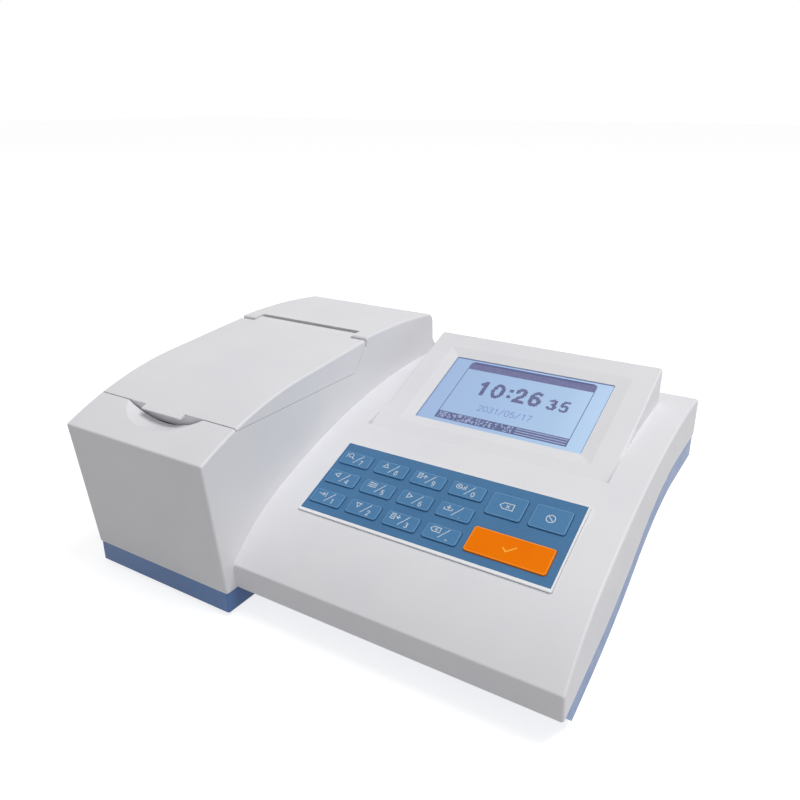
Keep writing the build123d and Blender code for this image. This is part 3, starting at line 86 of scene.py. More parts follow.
class Finish:  # one material and the nodes that make it
    def __init__(self, name, world=None):
        self.owner = world or bpy.data.materials.new(name)
        self.owner.use_nodes = True
        self.tree = self.owner.node_tree

    def node(self, kind, settings=None, inputs=None, output=0):
        made = self.tree.nodes.new(kind)
        for key, value in (settings or {}).items():
            if key == "stops":
                self.setStops(made.color_ramp, value)
            else:
                setattr(made, key, value)
        for key, value in (inputs or {}).items():
            self.feed(made.inputs[key], value)
        return Signal(self, made.outputs[output])

    def setStops(self, ramp, stops):
        spare = list(ramp.elements)[1:]
        for element in spare:
            ramp.elements.remove(element)
        ramp.elements[0].position, ramp.elements[0].color = stops[0]
        for place, colour in stops[1:]:
            ramp.elements.new(place).color = colour

    def feed(self, socket, value):
        if isinstance(value, Signal):
            self.tree.links.new(value.socket, socket)
        else:
            socket.default_value = value

    def shade(self, **values):  # sets the Principled shader's sockets by name
        shader = self.tree.nodes["Principled BSDF"]
        for key, value in values.items():
            self.feed(shader.inputs[key.replace("_", " ")], value)

    def place(self):
        return self.node("ShaderNodeTexCoord", output="Object")

    def noise(self, size, detail=3.0, roughness=0.5, vector=None):
        return self.node(
            "ShaderNodeTexNoise",
            {"noise_dimensions": "3D"},
            {"Vector": vector or self.place(), "Scale": 1 / size, "Detail": detail, "Roughness": roughness},
        )

    def between(self, factor, first, second):  # a colour between two colours
        return self.node(
            "ShaderNodeMix", {"data_type": "RGBA"}, {0: factor, 6: first, 7: second}, output=2
        )

    def spread(self, signal, span, ends=(0.0, 1.0)):  # carries a span of values over to other ends
        inputs = {"Value": signal, "From Min": span[0], "From Max": span[1]}
        inputs.update({"To Min": ends[0], "To Max": ends[1]})
        return self.node("ShaderNodeMapRange", inputs=inputs)

    def bump(self, height, distance):
        return self.node("ShaderNodeBump", inputs={"Height": height, "Distance": distance, "Strength": 1.0})


def paint(names, material):  # puts a material on CAD pieces
    for name in names:
        data = nodes[name].data
        if not data.materials:
            data.materials.append(material)
        for index in range(len(data.materials)):
            data.materials[index] = material


# camera

view = {
    "place": (0.2359, -0.3801, 0.2840),
    "turn": 31.775,
    "level": 90,            # a camera's tilt when it looks straight ahead
    "down": 21.456,
    "sensor": 36.0,         # in mm
    "focal": 757 / 800,     # focal length over the picture's width
    "nearest": 0.01,
}
cameraData = bpy.data.cameras.new("camera")
cameraData.sensor_width = view["sensor"]
cameraData.lens = cameraData.sensor_width * view["focal"]
cameraData.clip_start = view["nearest"]
camera = bpy.data.objects.new("camera", cameraData)
camera.location = view["place"]
camera.rotation_euler = (math.radians(view["level"] - view["down"]), 0, math.radians(view["turn"]))
bpy.context.scene.collection.objects.link(camera)
bpy.context.scene.camera = camera
print("camera placed")


# finishes

def moulded(name, look):  # injection-moulded plastic with a fine spark-eroded grain
    finish = Finish(name)
    grain = finish.noise(look["grain"], detail=2.0, roughness=0.6)
    cloud = finish.noise(look["cloud"])
    flow = finish.noise(look["flow"], detail=4.0)
    finish.shade(
        Base_Color=finish.between(finish.spread(cloud, noiseSpan), look["colour"], look["shade"]),
        Roughness=finish.spread(flow, noiseSpan, look["gloss"]) + grain * look["dulling"],
        Normal=finish.bump(grain, look["depth"]),
        Specular_IOR_Level=look["specular"],
    )
    return finish.owner


shellLook = {
    "colour": tone(229, 229, 232), "shade": tone(225, 225, 229), "grain": 0.0005, "cloud": 0.05,
    "flow": 0.011, "gloss": (0.42, 0.50), "dulling": 0.06, "depth": 0.00002, "specular": 0.4,
}
trayLook = {
    "colour": tone(75, 118, 176), "shade": tone(70, 111, 168), "grain": 0.0005, "cloud": 0.04,
    "flow": 0.0088, "gloss": (0.26, 0.34), "dulling": 0.06, "depth": 0.00002, "specular": 0.5,
}
shellWhite = moulded("shellWhite", shellLook)
trayBlue = moulded("trayBlue", trayLook)
paint(["photometer_cover", "lid", "console_cover"], shellWhite)
paint(["base_tray"], trayBlue)

frameLook = dict(shellLook, colour=tone(240, 241, 244), shade=tone(236, 238, 242), grain=0.0004)
paint(["keypad_frame"], moulded("frameWhite", frameLook))
print("shells finished")


def film(name, look):  # printed film over the keypad, with a very fine matte texture
    finish = Finish(name)
    grain = finish.noise(look["grain"], detail=2.0, roughness=0.7)
    speck = finish.noise(look["speck"], roughness=0.6)
    cloud = finish.noise(look["cloud"], detail=2.0)
    base = finish.between(finish.spread(cloud, noiseSpan), look["colour"], look["shade"])
    flecks = finish.spread(speck, look["fleckSpan"], (0.0, look["fleck"]))
    finish.shade(
        Base_Color=finish.between(flecks, base, look["light"]),
        Roughness=finish.spread(cloud, noiseSpan, look["gloss"]),
        Normal=finish.bump(grain, look["depth"]),
        Specular_IOR_Level=look["specular"],
    )
    return finish.owner


filmLook = {
    "colour": tone(59, 112, 157), "shade": tone(53, 104, 149), "light": tone(92, 141, 180),
    "fleck": 0.25, "fleckSpan": (0.35, 0.65), "grain": 0.0003, "speck": 0.0006, "cloud": 0.03,
    "gloss": (0.34, 0.44), "depth": 0.00002, "specular": 0.4,
}
# painted light: the keys are the film's own blue, given a lighter copy of it so that they show as bright as
# the film
keyPaintedLightLook = dict(filmLook, colour=tone(66, 122, 168), shade=tone(60, 115, 161))
enterLook = dict(
    filmLook, colour=tone(248, 126, 0), shade=tone(244, 118, 0), light=tone(252, 146, 8), fleck=0.12,
    specular=0.06,
)
paint(["keypad_overlay"], film("filmBlue", filmLook))
smallKeys = [name for name in nodes if name.startswith("key_") and name not in ("key_enter", "key_switches")]
paint(smallKeys, film("keyBlue", keyPaintedLightLook))
paint(["key_enter"], film("keyOrange", enterLook))
print("keypad finished")


def metal(name, look):  # bare or plated metal with fine machining lines
    finish = Finish(name)
    stretched = finish.node(
        "ShaderNodeMapping", {"vector_type": "POINT"}, {"Vector": finish.place(), "Scale": look["stretch"]}
    )
    lines = finish.noise(look["lines"], detail=4.0, roughness=0.7, vector=stretched)
    finish.shade(
        Base_Color=finish.between(finish.spread(lines, noiseSpan), look["colour"], look["shade"]),
        Metallic=1.0,
        Roughness=finish.spread(lines, look["glossSpan"], look["gloss"]),
        Normal=finish.bump(lines, look["depth"]),
    )
    return finish.owner


steelLook = {
    "colour": tone(196, 198, 202), "shade": tone(176, 178, 183), "lines": 0.0012, "stretch": (0.15, 1.0, 1.0),
    "gloss": (0.22, 0.36), "glossSpan": (0.25, 0.75), "depth": 0.00001,
}
benchLook = dict(steelLook, colour=tone(206, 208, 211), shade=tone(190, 192, 196), gloss=(0.3, 0.44))
brassLook = dict(steelLook, colour=tone(222, 205, 150), shade=tone(205, 186, 128), lines=0.0008)
paint(
    ["hinge_pins", "motor_shaft", "case_screws", "board_screws", "motor_bracket", "lcd_bezel", "data_port"],
    metal("plainSteel", steelLook),
)
paint(["optical_base"], metal("benchAluminium", benchLook))
paint(["inlet_pins"], metal("inletBrass", brassLook))


def dark(name, look):  # black anodised parts, black plastic and rubber
    finish = Finish(name)
    grain = finish.noise(look["grain"], roughness=0.6)
    dust = finish.noise(look["dust"], detail=4.0, roughness=0.6)
    finish.shade(
        Base_Color=finish.between(finish.spread(dust, look["dustSpan"]), look["colour"], look["light"]),
        Roughness=finish.spread(dust, noiseSpan, look["gloss"]),
        Normal=finish.bump(grain, look["depth"]),
        Specular_IOR_Level=look["specular"],
    )
    return finish.owner


anodisedLook = {
    "colour": tone(30, 30, 32), "light": tone(40, 40, 43), "grain": 0.0004, "dust": 0.006,
    "dustSpan": (0.45, 0.75), "gloss": (0.4, 0.52), "depth": 0.00002, "specular": 0.5,
}
plasticLook = dict(
    anodisedLook, colour=tone(34, 34, 36), light=tone(44, 44, 46), gloss=(0.38, 0.48), depth=0.00003,
)
rubberLook = dict(
    anodisedLook, colour=tone(38, 38, 39), light=tone(58, 57, 56), gloss=(0.75, 0.9), specular=0.25,
)
foamLook = dict(rubberLook, colour=tone(28, 28, 29), light=tone(46, 46, 47), grain=0.0009, depth=0.0003)
paint(["cell_holder", "sample_deck", "lens_tube", "lamp_housing"], dark("blackAnodised", anodisedLook))
paint(
    ["filter_wheel", "power_inlet", "rocker_housing", "fuse_holder", "key_switches", "photodiode"],
    dark("blackPlastic", plasticLook),
)
paint(["feet"], dark("footRubber", rubberLook))
paint(["lid_seal"], dark("sealFoam", foamLook))
rockerLook = dict(plasticLook, colour=tone(176, 24, 22), light=tone(186, 36, 32), gloss=(0.2, 0.28))
motorLook = dict(anodisedLook, colour=tone(120, 122, 126), light=tone(134, 136, 140), gloss=(0.32, 0.42))
chipLook = dict(plasticLook, colour=tone(26, 26, 28), light=tone(36, 36, 38))
lightLook = dict(plasticLook, colour=tone(222, 232, 242), light=tone(232, 240, 248))
paint(["power_rocker"], dark("rockerRed", rockerLook))
paint(["wheel_motor"], dark("motorGrey", motorLook))
paint(["board_components"], dark("chipBlack", chipLook))
paint(["lcd_backlight"], dark("lightGuide", lightLook))


def circuitBoard(name, look):  # green solder resist over copper tracks
    finish = Finish(name)
    tracks = finish.node(
        "ShaderNodeTexVoronoi",
        {"feature": "F1", "distance": "MANHATTAN"},
        {"Vector": finish.place(), "Scale": 1 / look["pitch"]},
    )
    cloud = finish.noise(look["cloud"], detail=2.0)
    raised = finish.spread(tracks, look["trackSpan"], (1.0, 0.0))
    finish.shade(
        Base_Color=finish.between(raised, look["resist"], look["track"]),
        Roughness=finish.spread(cloud, noiseSpan, look["gloss"]),
        Normal=finish.bump(raised, look["depth"]),
    )
    return finish.owner


boardLook = {
    "resist": tone(12, 74, 40), "track": tone(34, 112, 62), "pitch": 0.003, "trackSpan": (0.30, 0.36),
    "cloud": 0.01, "gloss": (0.24, 0.36), "depth": 0.00003,
}
paint(
    ["lcd_board", "keypad_board", "main_board", "detector_board", "power_supply"],
    circuitBoard("boardGreen", boardLook),
)


def ribbonCable(name, look):  # parallel wires in grey insulation
    finish = Finish(name)
    ridges = finish.node(
        "ShaderNodeTexWave",
        {"wave_type": "BANDS", "bands_direction": "X"},
        {"Vector": finish.place(), "Scale": look["wires"]},
    )
    finish.shade(
        Base_Color=finish.between(ridges, look["gap"], look["wire"]),
        Roughness=look["gloss"],
        Normal=finish.bump(ridges, look["depth"]),
    )
    return finish.owner


ribbonLook = {
    "wire": tone(182, 184, 188), "gap": tone(140, 142, 147), "wires": 390.0, "gloss": 0.5, "depth": 0.0002,
}
paint(["display_ribbon", "keypad_ribbon"], ribbonCable("ribbonGrey", ribbonLook))


def clearGlass(name, look):  # clear pieces: they let light through and mirror it at a slant
    finish = Finish(name)
    smear = finish.noise(look["smear"], detail=4.0, roughness=0.6)
    sheen = finish.node(
        "ShaderNodeBsdfGlossy",
        inputs={"Color": (1, 1, 1, 1), "Roughness": finish.spread(smear, noiseSpan, look["gloss"])},
    )
    through = finish.node("ShaderNodeBsdfTransparent", inputs={"Color": look["tint"]})
    edgeOn = finish.node("ShaderNodeLayerWeight", output="Facing")
    mirrored = edgeOn ** look["slant"] * look["mirror"] + look["least"]
    both = finish.node("ShaderNodeMixShader", inputs={0: mirrored, 1: through, 2: sheen})
    finish.tree.links.new(both.socket, finish.tree.nodes["Material Output"].inputs["Surface"])
    finish.tree.nodes.remove(finish.tree.nodes["Principled BSDF"])
    return finish.owner


windowLook = {
    "tint": (0.96, 0.97, 0.98, 1), "smear": 0.02, "gloss": (0.02, 0.07),
    "mirror": 0.5, "least": 0.02, "slant": 5,   # how mirror-like it is edge on, face on and between
}
cellLook = dict(windowLook, tint=(0.86, 0.91, 0.94, 1), smear=0.01, mirror=0.9)
filterLook = dict(cellLook, tint=(0.55, 0.66, 0.9, 1))
paint(["display_window"], clearGlass("windowGlass", windowLook))
paint(["cuvette", "condenser_lens", "lamp"], clearGlass("cellGlass", cellLook))
paint(["filters"], clearGlass("filterGlass", filterLook))


def displayFace(name, look):  # the lit display: pale blue, brighter towards one end
    finish = Finish(name)
    along = finish.node("ShaderNodeSeparateXYZ", inputs={"Vector": finish.place()}, output="X")
    share = finish.spread(along, look["ends"])
    cloud = finish.noise(look["cloud"], detail=2.0)
    colour = finish.node(
        "ShaderNodeValToRGB",
        {"stops": look["stops"]},
        {"Fac": share + (cloud - noiseMiddle) * look["mottle"]},
    )
    finish.shade(
        Base_Color=colour,
        Roughness=look["gloss"],
        Emission_Color=colour,
        Emission_Strength=look["glow"],
    )
    return finish.owner


glassLow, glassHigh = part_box("lcd_glass")
displayLook = {
    "ends": (glassLow.x, glassHigh.x),
    "stops": [
        (0.08, tone(151, 177, 213)), (0.4, tone(156, 183, 219)), (0.75, tone(164, 191, 223)),
        (0.94, tone(176, 203, 232)),
    ],
    "cloud": 0.03,
    "mottle": 0.12,
    "gloss": 0.35,
    "glow": 0.16,
}
displayBlue = displayFace("displayFace", displayLook)
paint(["lcd_glass"], displayBlue)
print("inner parts finished")


# flat marks: key legends and what the display shows, drawn in mm on a tilted panel

strokeLimits = {"turn": 0.1, "mitre": 2.2}      # where a stroke turns back, and how far a corner may reach


def line(points, width, closed=False):  # a bent stroke of even width
    count = len(points)
    spots, faces = [], []
    for index, point in enumerate(points):
        here = Vector(point)
        before = Vector(points[index - 1]) if closed or index > 0 else None
        after = Vector(points[(index + 1) % count]) if closed or index < count - 1 else None
        into = (here - before).normalized() if before else (after - here).normalized()
        out = (after - here).normalized() if after else into
        way = (into + out).normalized() if (into + out).length > strokeLimits["turn"] else into
        across = Vector((-way.y, way.x))
        bend = max(across.dot(Vector((-into.y, into.x))), strokeLimits["turn"])
        stretch = min(1 / bend, strokeLimits["mitre"])
        spots += [here + across * width / 2 * stretch, here - across * width / 2 * stretch]
    for index in range(count if closed else count - 1):
        after = (index + 1) % count
        faces.append([2 * index, 2 * index + 1, 2 * after + 1, 2 * after])
    return [(spots, faces)]


def area(points):
    return [([Vector(point) for point in points], [list(range(len(points)))])]


def ring(centre, radii, width):
    return line(turned(centre, radii), width, True)


def rounded(size, radius, steps=4):  # a rectangle with round corners about its middle
    points = []
    for turn, (a, b) in enumerate(((1, 1), (-1, 1), (-1, -1), (1, -1))):
        for step in range(steps + 1):
            angle = math.pi / 2 * (turn + step / steps)
            points.append((
                a * (size[0] / 2 - radius) + radius * math.cos(angle),
                b * (size[1] / 2 - radius) + radius * math.sin(angle),
            ))
    return points


def disc(centre, radius):
    return area(turned(centre, (radius, radius)))


def turned(centre, radii, steps=20):
    angles = [2 * math.pi * step / steps for step in range(steps)]
    return [(centre[0] + radii[0] * math.cos(a), centre[1] + radii[1] * math.sin(a)) for a in angles]


digitPaths = {  # plain digits as strokes, 6 wide and 10 high
    "1": [(1.4, 8.0), (3.6, 10.0), (3.6, 0.0)],
    "2": [(0.6, 7.6), (1.3, 9.4), (3.0, 10.0), (4.8, 9.3), (5.4, 7.5), (4.6, 5.4), (0.5, 0.0), (5.6, 0.0)],
    "3": [(0.7, 9.0), (3.0, 10.0), (5.0, 9.0), (5.2, 7.0), (4.2, 5.6), (2.6, 5.3), (4.6, 4.8), (5.6, 2.8),
          (4.8, 0.8), (3.0, 0.0), (1.2, 0.4), (0.4, 1.8)],
    "4": [(4.4, 0.0), (4.4, 10.0), (0.3, 3.0), (6.0, 3.0)],
    "5": [(5.2, 10.0), (1.3, 10.0), (0.9, 5.4), (2.9, 6.2), (4.9, 5.3), (5.5, 3.1), (4.7, 0.8), (2.8, 0.0),
          (0.4, 1.2)],
    "6": [(5.0, 9.2), (3.2, 10.0), (1.4, 8.8), (0.5, 5.6), (0.6, 2.0), (2.0, 0.2), (4.0, 0.2), (5.5, 2.0),
          (5.3, 4.4), (3.6, 5.8), (1.6, 5.4), (0.5, 3.8)],
    "7": [(0.4, 10.0), (5.6, 10.0), (2.4, 0.0)],
    "9": [(1.0, 0.8), (2.8, 0.0), (4.6, 1.2), (5.5, 4.4), (5.4, 8.0), (4.0, 9.8), (2.0, 9.8), (0.5, 8.0),
          (0.7, 5.6), (2.4, 4.2), (4.4, 4.6), (5.5, 6.2)],
    "/": [(0.4, -0.6), (5.2, 10.6)],
    "-": [(0.6, 0.6), (5.4, 0.6)],
    ".": [(1.8, 0.9), (3.0, 0.9)],
}
digitLoops = {  # closed rounds: middle, and half the width and height
    "0": [((3.0, 5.0), (2.7, 5.0))],
    "8": [((3.0, 7.7), (2.2, 2.3)), ((3.0, 2.8), (2.7, 2.8))],
}
digitDots = {":": ((2.4, 2.4), (2.4, 7.4))}
digitGrid = {"height": 10, "dot": 0.6}      # a digit's height and a dot's length above


def strokes(text, place, height, pitch):  # a row of digits from its lower left corner, as bent paths
    found = []
    tall = digitGrid["height"]
    for step, sign in enumerate(text):
        paths = [(digitPaths[sign], False)] if sign in digitPaths else []
        paths += [(turned(*loop), True) for loop in digitLoops.get(sign, ())]
        paths += [([(x, y), (x + digitGrid["dot"], y)], False) for x, y in digitDots.get(sign, ())]
        for points, closed in paths:
            spots = [
                (place[0] + step * pitch + across * height / tall, place[1] + up * height / tall)
                for across, up in points
            ]
            found.append((spots, closed))
    return found


def digits(text, place, height, width, pitch):
    marks = []
    for points, closed in strokes(text, place, height, pitch):
        marks += line(points, width, closed)
    return marks


def block(low, high):  # an upright rectangle between two corners
    return area([low, (high[0], low[1]), high, (low[0], high[1])])


def square(centre, side):
    half = side / 2
    return block((centre[0] - half, centre[1] - half), (centre[0] + half, centre[1] + half))


def reach(spot, start, end):  # distance from a spot to a straight stroke
    run = end - start
    share = min(max((spot - start).dot(run) / run.length_squared, 0.0), 1.0)
    return (spot - start - run * share).length


def dotted(text, place, height, width, pitch, dot):  # the same digits as a display draws them, in dots
    runs = []
    for points, closed in strokes(text, place, height, pitch):
        ends = points[1:] + points[:1] if closed else points[1:]
        runs += [(Vector(start), Vector(end)) for start, end in zip(points, ends)]
    dotPitch, dotSide = dot
    left, right = place[0] - width, place[0] + pitch * len(text)
    low, high = place[1] - width, place[1] + height + width
    marks = []
    for column in range(math.floor(left / dotPitch), math.ceil(right / dotPitch)):
        for row in range(math.floor(low / dotPitch), math.ceil(high / dotPitch)):
            spot = Vector(((column + 0.5) * dotPitch, (row + 0.5) * dotPitch))
            if any(reach(spot, start, end) < width / 2 for start, end in runs):
                marks += square(spot, dotSide)
    return marks


def moved(marks, place):
    return [([spot + Vector(place) for spot in spots], faces) for spots, faces in marks]


perMetre = 1000     # millimetres


def tilted(origin, slope):  # a panel's frame: across, up the slope, outwards, in mm
    return (
        Matrix.Translation(Vector(origin) / perMetre)
        @ Matrix.Rotation(math.radians(slope), 4, "X")
        @ Matrix.Scale(1 / perMetre, 4)
    )


def decal(name, body, panel, marks, levels, material):  # marks as thin slabs that ride on a body
    shape = bmesh.new()
    for spots, faces in marks:
        low = [shape.verts.new((spot.x, spot.y, levels[0])) for spot in spots]
        high = [shape.verts.new((spot.x, spot.y, levels[1])) for spot in spots]
        rim = set()
        for face in faces:
            shape.faces.new([high[index] for index in face])
            shape.faces.new([low[index] for index in reversed(face)])
            for pair in zip(face, face[1:] + face[:1]):
                if pair[::-1] in rim:
                    rim.discard(pair[::-1])
                else:
                    rim.add(pair)
        for first, second in sorted(rim):
            shape.faces.new((low[first], low[second], high[second], high[first]))
    bmesh.ops.recalc_face_normals(shape, faces=shape.faces)
    shape.transform(panel)
    data = bpy.data.meshes.new(name)
    shape.to_mesh(data)
    shape.free()
    data.materials.append(material)
    piece = bpy.data.objects.new(name, data)
    bpy.context.scene.collection.objects.link(piece)
    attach(piece, body)


inkPrint = {"span": (0.38, 0.62), "gloss": (0.45, 0.6)}


def ink(name, look):  # printed ink or display dots, slightly uneven
    finish = Finish(name)
    speck = finish.noise(look["speck"], roughness=0.6)
    finish.shade(
        Base_Color=finish.between(finish.spread(speck, inkPrint["span"]), look["colour"], look["shade"]),
        Roughness=finish.spread(speck, noiseSpan, inkPrint["gloss"]),
    )
    return finish.owner


# key legends

legends = {
    "origin": (-21.7, -75.6, 61.555),       # lower left corner of the film
    "slope": 22.18,
    "columns": {"count": 6, "first": 12.73, "pitch": 25.567},
    "rows": (43.28, 26.95, 10.62),
    "wideRow": 40.35,
    "enter": (127.78, 14.0),
    "levels": (0.88, 0.94),     # base and top above the film
    "stroke": 0.47,
    "bold": 1.1,                # the larger keys' strokes over the small keys'
    "tick": 1.6,                # the tick's over the small keys'
    "handle": 1.3,              # the looking glass's handle over them
    "knob": 0.65,               # radii of the sliders' knobs and of the dot in the reading's ring
    "pupil": 0.6,
    "digit": (3.1, -3.4),       # digit's corner from the key's centre
    "digitHeight": 3.3,
    "slash": [(-1.0, -3.1), (3.7, 3.9)],    # between mark and digit
    "icon": (-4.4, 1.7),        # the mark's middle
    "small": (21.07, 10.23),    # key tops, across and up
    "wide": (21.07, 16.1),
    "broad": (46.63, 17.0),
    "bend": 1.6,                # radius of a key's corners
    "inset": 0.5,               # of the painted highlight, a light line along a key's edge
    # the painted highlight's stroke width, then its base and top above the film
    "edge": 0.28,
    "paintedHighlightLevels": (0.88, 0.92),
}
columns = legends["columns"]
keyColumns = [columns["first"] + columns["pitch"] * step for step in range(columns["count"])]
pen = legends["stroke"]
boldPen = pen * legends["bold"]
knob = legends["knob"]
sheetMarks = line([(-3.0, -1.8), (-3.0, 1.8), (-0.6, 1.8), (-0.6, -1.8)], pen, True)
sheetMarks += line([(-2.4, 0.7), (-1.2, 0.7)], pen) + line([(-2.4, -0.5), (-1.2, -0.5)], pen)
iconMarks = {
    "key_8": line([(-1.7, -1.3), (0.0, 1.7), (1.7, -1.3)], pen, True),      # up, down, left and right
    "key_2": line([(-1.7, 1.3), (0.0, -1.7), (1.7, 1.3)], pen, True),
    "key_4": line([(1.4, -1.7), (-1.6, 0.0), (1.4, 1.7)], pen, True),
    "key_6": line([(-1.4, -1.7), (1.6, 0.0), (-1.4, 1.7)], pen, True),
    "key_7": ring((-0.5, 0.5), (1.5, 1.5), pen)     # a looking glass
    + line([(0.6, -0.6), (2.3, -2.1)], pen * legends["handle"])
    + line([(-3.2, -1.6), (-3.2, 1.8)], pen),
    "key_9": sheetMarks + line([(0.4, -0.6), (1.7, 0.9), (3.0, -0.6)], pen)     # a sheet up, a sheet down
    + line([(1.7, 0.8), (1.7, -1.9)], pen),
    "key_3": sheetMarks + line([(0.4, 0.6), (1.7, -0.9), (3.0, 0.6)], pen)
    + line([(1.7, -0.8), (1.7, 1.9)], pen),
    "key_0": ring((-1.6, 0.0), (1.6, 1.6), pen) + disc((-1.6, 0.0), legends["pupil"])   # a reading
    + line([(0.8, -1.7), (0.8, -0.2)], pen) + line([(1.8, -1.7), (1.8, 0.8)], pen)
    + line([(2.8, -1.7), (2.8, 1.7)], pen),
    "key_5": line([(-2.9, 1.4), (2.9, 1.4)], pen) + line([(-2.9, 0.0), (2.9, 0.0)], pen)    # sliders
    + line([(-2.9, -1.4), (2.9, -1.4)], pen) + disc((-1.3, 1.4), knob) + disc((1.4, 0.0), knob)
    + disc((-0.4, -1.4), knob),
    "key_dot": line([(-2.5, -0.3), (-2.5, -1.8), (2.5, -1.8), (2.5, -0.3)], pen)    # an arrow into a tray
    + line([(0.0, 1.9), (0.0, -0.5)], pen) + line([(-1.1, 0.5), (0.0, -0.7), (1.1, 0.5)], pen),
    "key_1": line([(-2.7, 0.0), (1.2, 0.0)], pen) + line([(0.1, 1.2), (1.4, 0.0), (0.1, -1.2)], pen)
    + line([(2.5, 1.7), (2.5, -1.7)], pen),     # an arrow to a stop
    "key_minus": line([(-3.0, 0.0), (-1.4, 1.6), (3.0, 1.6), (3.0, -1.6), (-1.4, -1.6)], pen, True)
    + line([(-0.3, 0.8), (1.3, -0.8)], pen) + line([(-0.3, -0.8), (1.3, 0.8)], pen),    # rubbing out
}
legendInk = ink("legendInk", {"colour": tone(212, 219, 225), "shade": tone(194, 205, 215), "speck": 0.0004})
enterInk = ink("enterInk", {"colour": tone(255, 190, 60), "shade": tone(250, 176, 44), "speck": 0.0004})
# painted highlight colours: the light lines along the rims of the blue keys and the orange key
paintedHighlightBlue = ink("paintedHighlightBlue", {"colour": tone(112, 158, 198), "shade": tone(98, 144, 188), "speck": 0.0008})
paintedHighlightOrange = ink("paintedHighlightOrange", {"colour": tone(255, 176, 60), "shade": tone(252, 160, 36), "speck": 0.0008})
padPanel = tilted(legends["origin"], legends["slope"])


def paintedHighlightLine(body, centre, size, material):  # a painted highlight: a light line along the rim of a key's top, where its raised edge would catch the light
    inset = legends["inset"]
    path = rounded((size[0] - 2 * inset, size[1] - 2 * inset), legends["bend"] - inset)
    marks = moved(line(path, legends["edge"], True), centre)
    decal(body + "Edge", body, padPanel, marks, legends["paintedHighlightLevels"], material)


for row, signs in enumerate(("7890", "456.", "123-")):
    for column, sign in enumerate(signs):
        body = "key_" + {".": "dot", "-": "minus"}.get(sign, sign)
        marks = moved(iconMarks[body], legends["icon"]) + line(legends["slash"], pen)
        marks += digits(sign, legends["digit"], legends["digitHeight"], pen, 0.0)
        centre = (keyColumns[column], legends["rows"][row])
        decal(body + "Legend", body, padPanel, moved(marks, centre), legends["levels"], legendInk)
        paintedHighlightLine(body, centre, legends["small"], paintedHighlightBlue)
clearMarks = line([(-4.0, 0.0), (-1.9, 2.1), (4.0, 2.1), (4.0, -2.1), (-1.9, -2.1)], boldPen, True)
clearMarks += line([(-0.2, 1.0), (1.9, -1.0)], boldPen) + line([(-0.2, -1.0), (1.9, 1.0)], boldPen)
cancelMarks = ring((0.0, 0.0), (2.5, 2.5), boldPen) + line([(-1.75, 1.75), (1.75, -1.75)], boldPen)
enterMarks = line([(-3.6, 0.2), (-1.2, -2.0), (3.6, 2.3)], pen * legends["tick"])
clearCentre, cancelCentre = [(across, legends["wideRow"]) for across in keyColumns[-2:]]
# each large key's legend, then its painted highlight along the rim
for body, marks, centre, size, material, edge in (
    ("key_clear", clearMarks, clearCentre, "wide", legendInk, paintedHighlightBlue),
    ("key_cancel", cancelMarks, cancelCentre, "wide", legendInk, paintedHighlightBlue),
    ("key_enter", enterMarks, legends["enter"], "broad", enterInk, paintedHighlightOrange),
):
    decal(body + "Legend", body, padPanel, moved(marks, centre), legends["levels"], material)
    paintedHighlightLine(body, centre, legends[size], edge)
print("keys marked")


# what the display shows: a framed page with a clock, a date and a foot line

page = {
    "origin": (56.3, 50.641, 103.616),      # middle of the window
    "slope": 21.85,
    "window": (57.0, 32.64),                # half its width and length
    "sides": (-44.5, 46.5),
    "head": (22.8, 30.6),                   # the bars above and below the clock, low and high
    "foot": (-29.0, -22.0),
    "corner": 2.6,
    "cornerCut": 0.3,           # of the corner, where its bend is
    "film": (-2.11, -2.06),     # the lit film on the window, then the marks on it
    "levels": (-2.07, -2.03),
    "upper": (-2.04, -2.0),
    "rim": (-2.07, -1.99),
    "side": {"inset": 0.2, "width": 0.5},
    "dot": (0.95, 0.86),        # one square dot's pitch and side
    "clock": {
        "runs": (("10", (-28.4, 0.2)), (":", (-8.6, 0.2)), ("26", (-1.6, 0.2))),
        "height": 11.8, "stroke": 2.7, "pitch": 10.8,
    },
    "second": {"runs": (("35", (22.6, -0.4)),), "height": 8.6, "stroke": 2.0, "pitch": 8.2},
    "date": {"run": "2031/05/17", "place": (-20.0, -15.2), "height": 5.2, "stroke": 0.55, "pitch": 3.8},
    "footDots": {
        "seed": 7, "columns": 56, "rows": 6, "share": 0.42, "start": (1.4, 1.2),
        "gap": 7,               # every seventh column stays dark
    },
    "footLines": {  # to the right of the dots
        "count": 3, "split": 56.5, "start": 1.5, "pitch": 2.1, "inset": 0.8, "width": 0.7,
    },
    "headLine": {"drop": 0.9, "width": 1.6},
    "rimLine": {"inset": 0.3, "width": 0.45},
}
pagePanel = tilted(page["origin"], page["slope"])
barLook = {"colour": tone(114, 117, 158), "shade": tone(105, 107, 150), "speck": 0.003}
digitInk = ink("digitInk", {"colour": tone(74, 70, 112), "shade": tone(98, 98, 144), "speck": 0.0007})
barInk = ink("barInk", barLook)
footInk = ink("footInk", dict(barLook, colour=tone(98, 108, 152), shade=tone(88, 98, 142)))
headInk = ink("headInk", dict(barLook, colour=tone(76, 86, 138), shade=tone(84, 93, 145)))
lightDots = ink("lightDots", {"colour": tone(176, 190, 224), "shade": tone(158, 172, 212), "speck": 0.0008})
frameInk = ink("frameInk", {"colour": tone(82, 96, 150), "shade": tone(98, 112, 166), "speck": 0.002})
fineInk = ink("fineInk", {"colour": tone(116, 132, 194), "shade": tone(134, 152, 208), "speck": 0.0006})
edgeInk = ink("edgeInk", {"colour": tone(78, 98, 160), "shade": tone(90, 112, 172), "speck": 0.004})


def pageMarks(name, marks, levels, material):
    decal(name, "case", pagePanel, marks, page[levels], material)


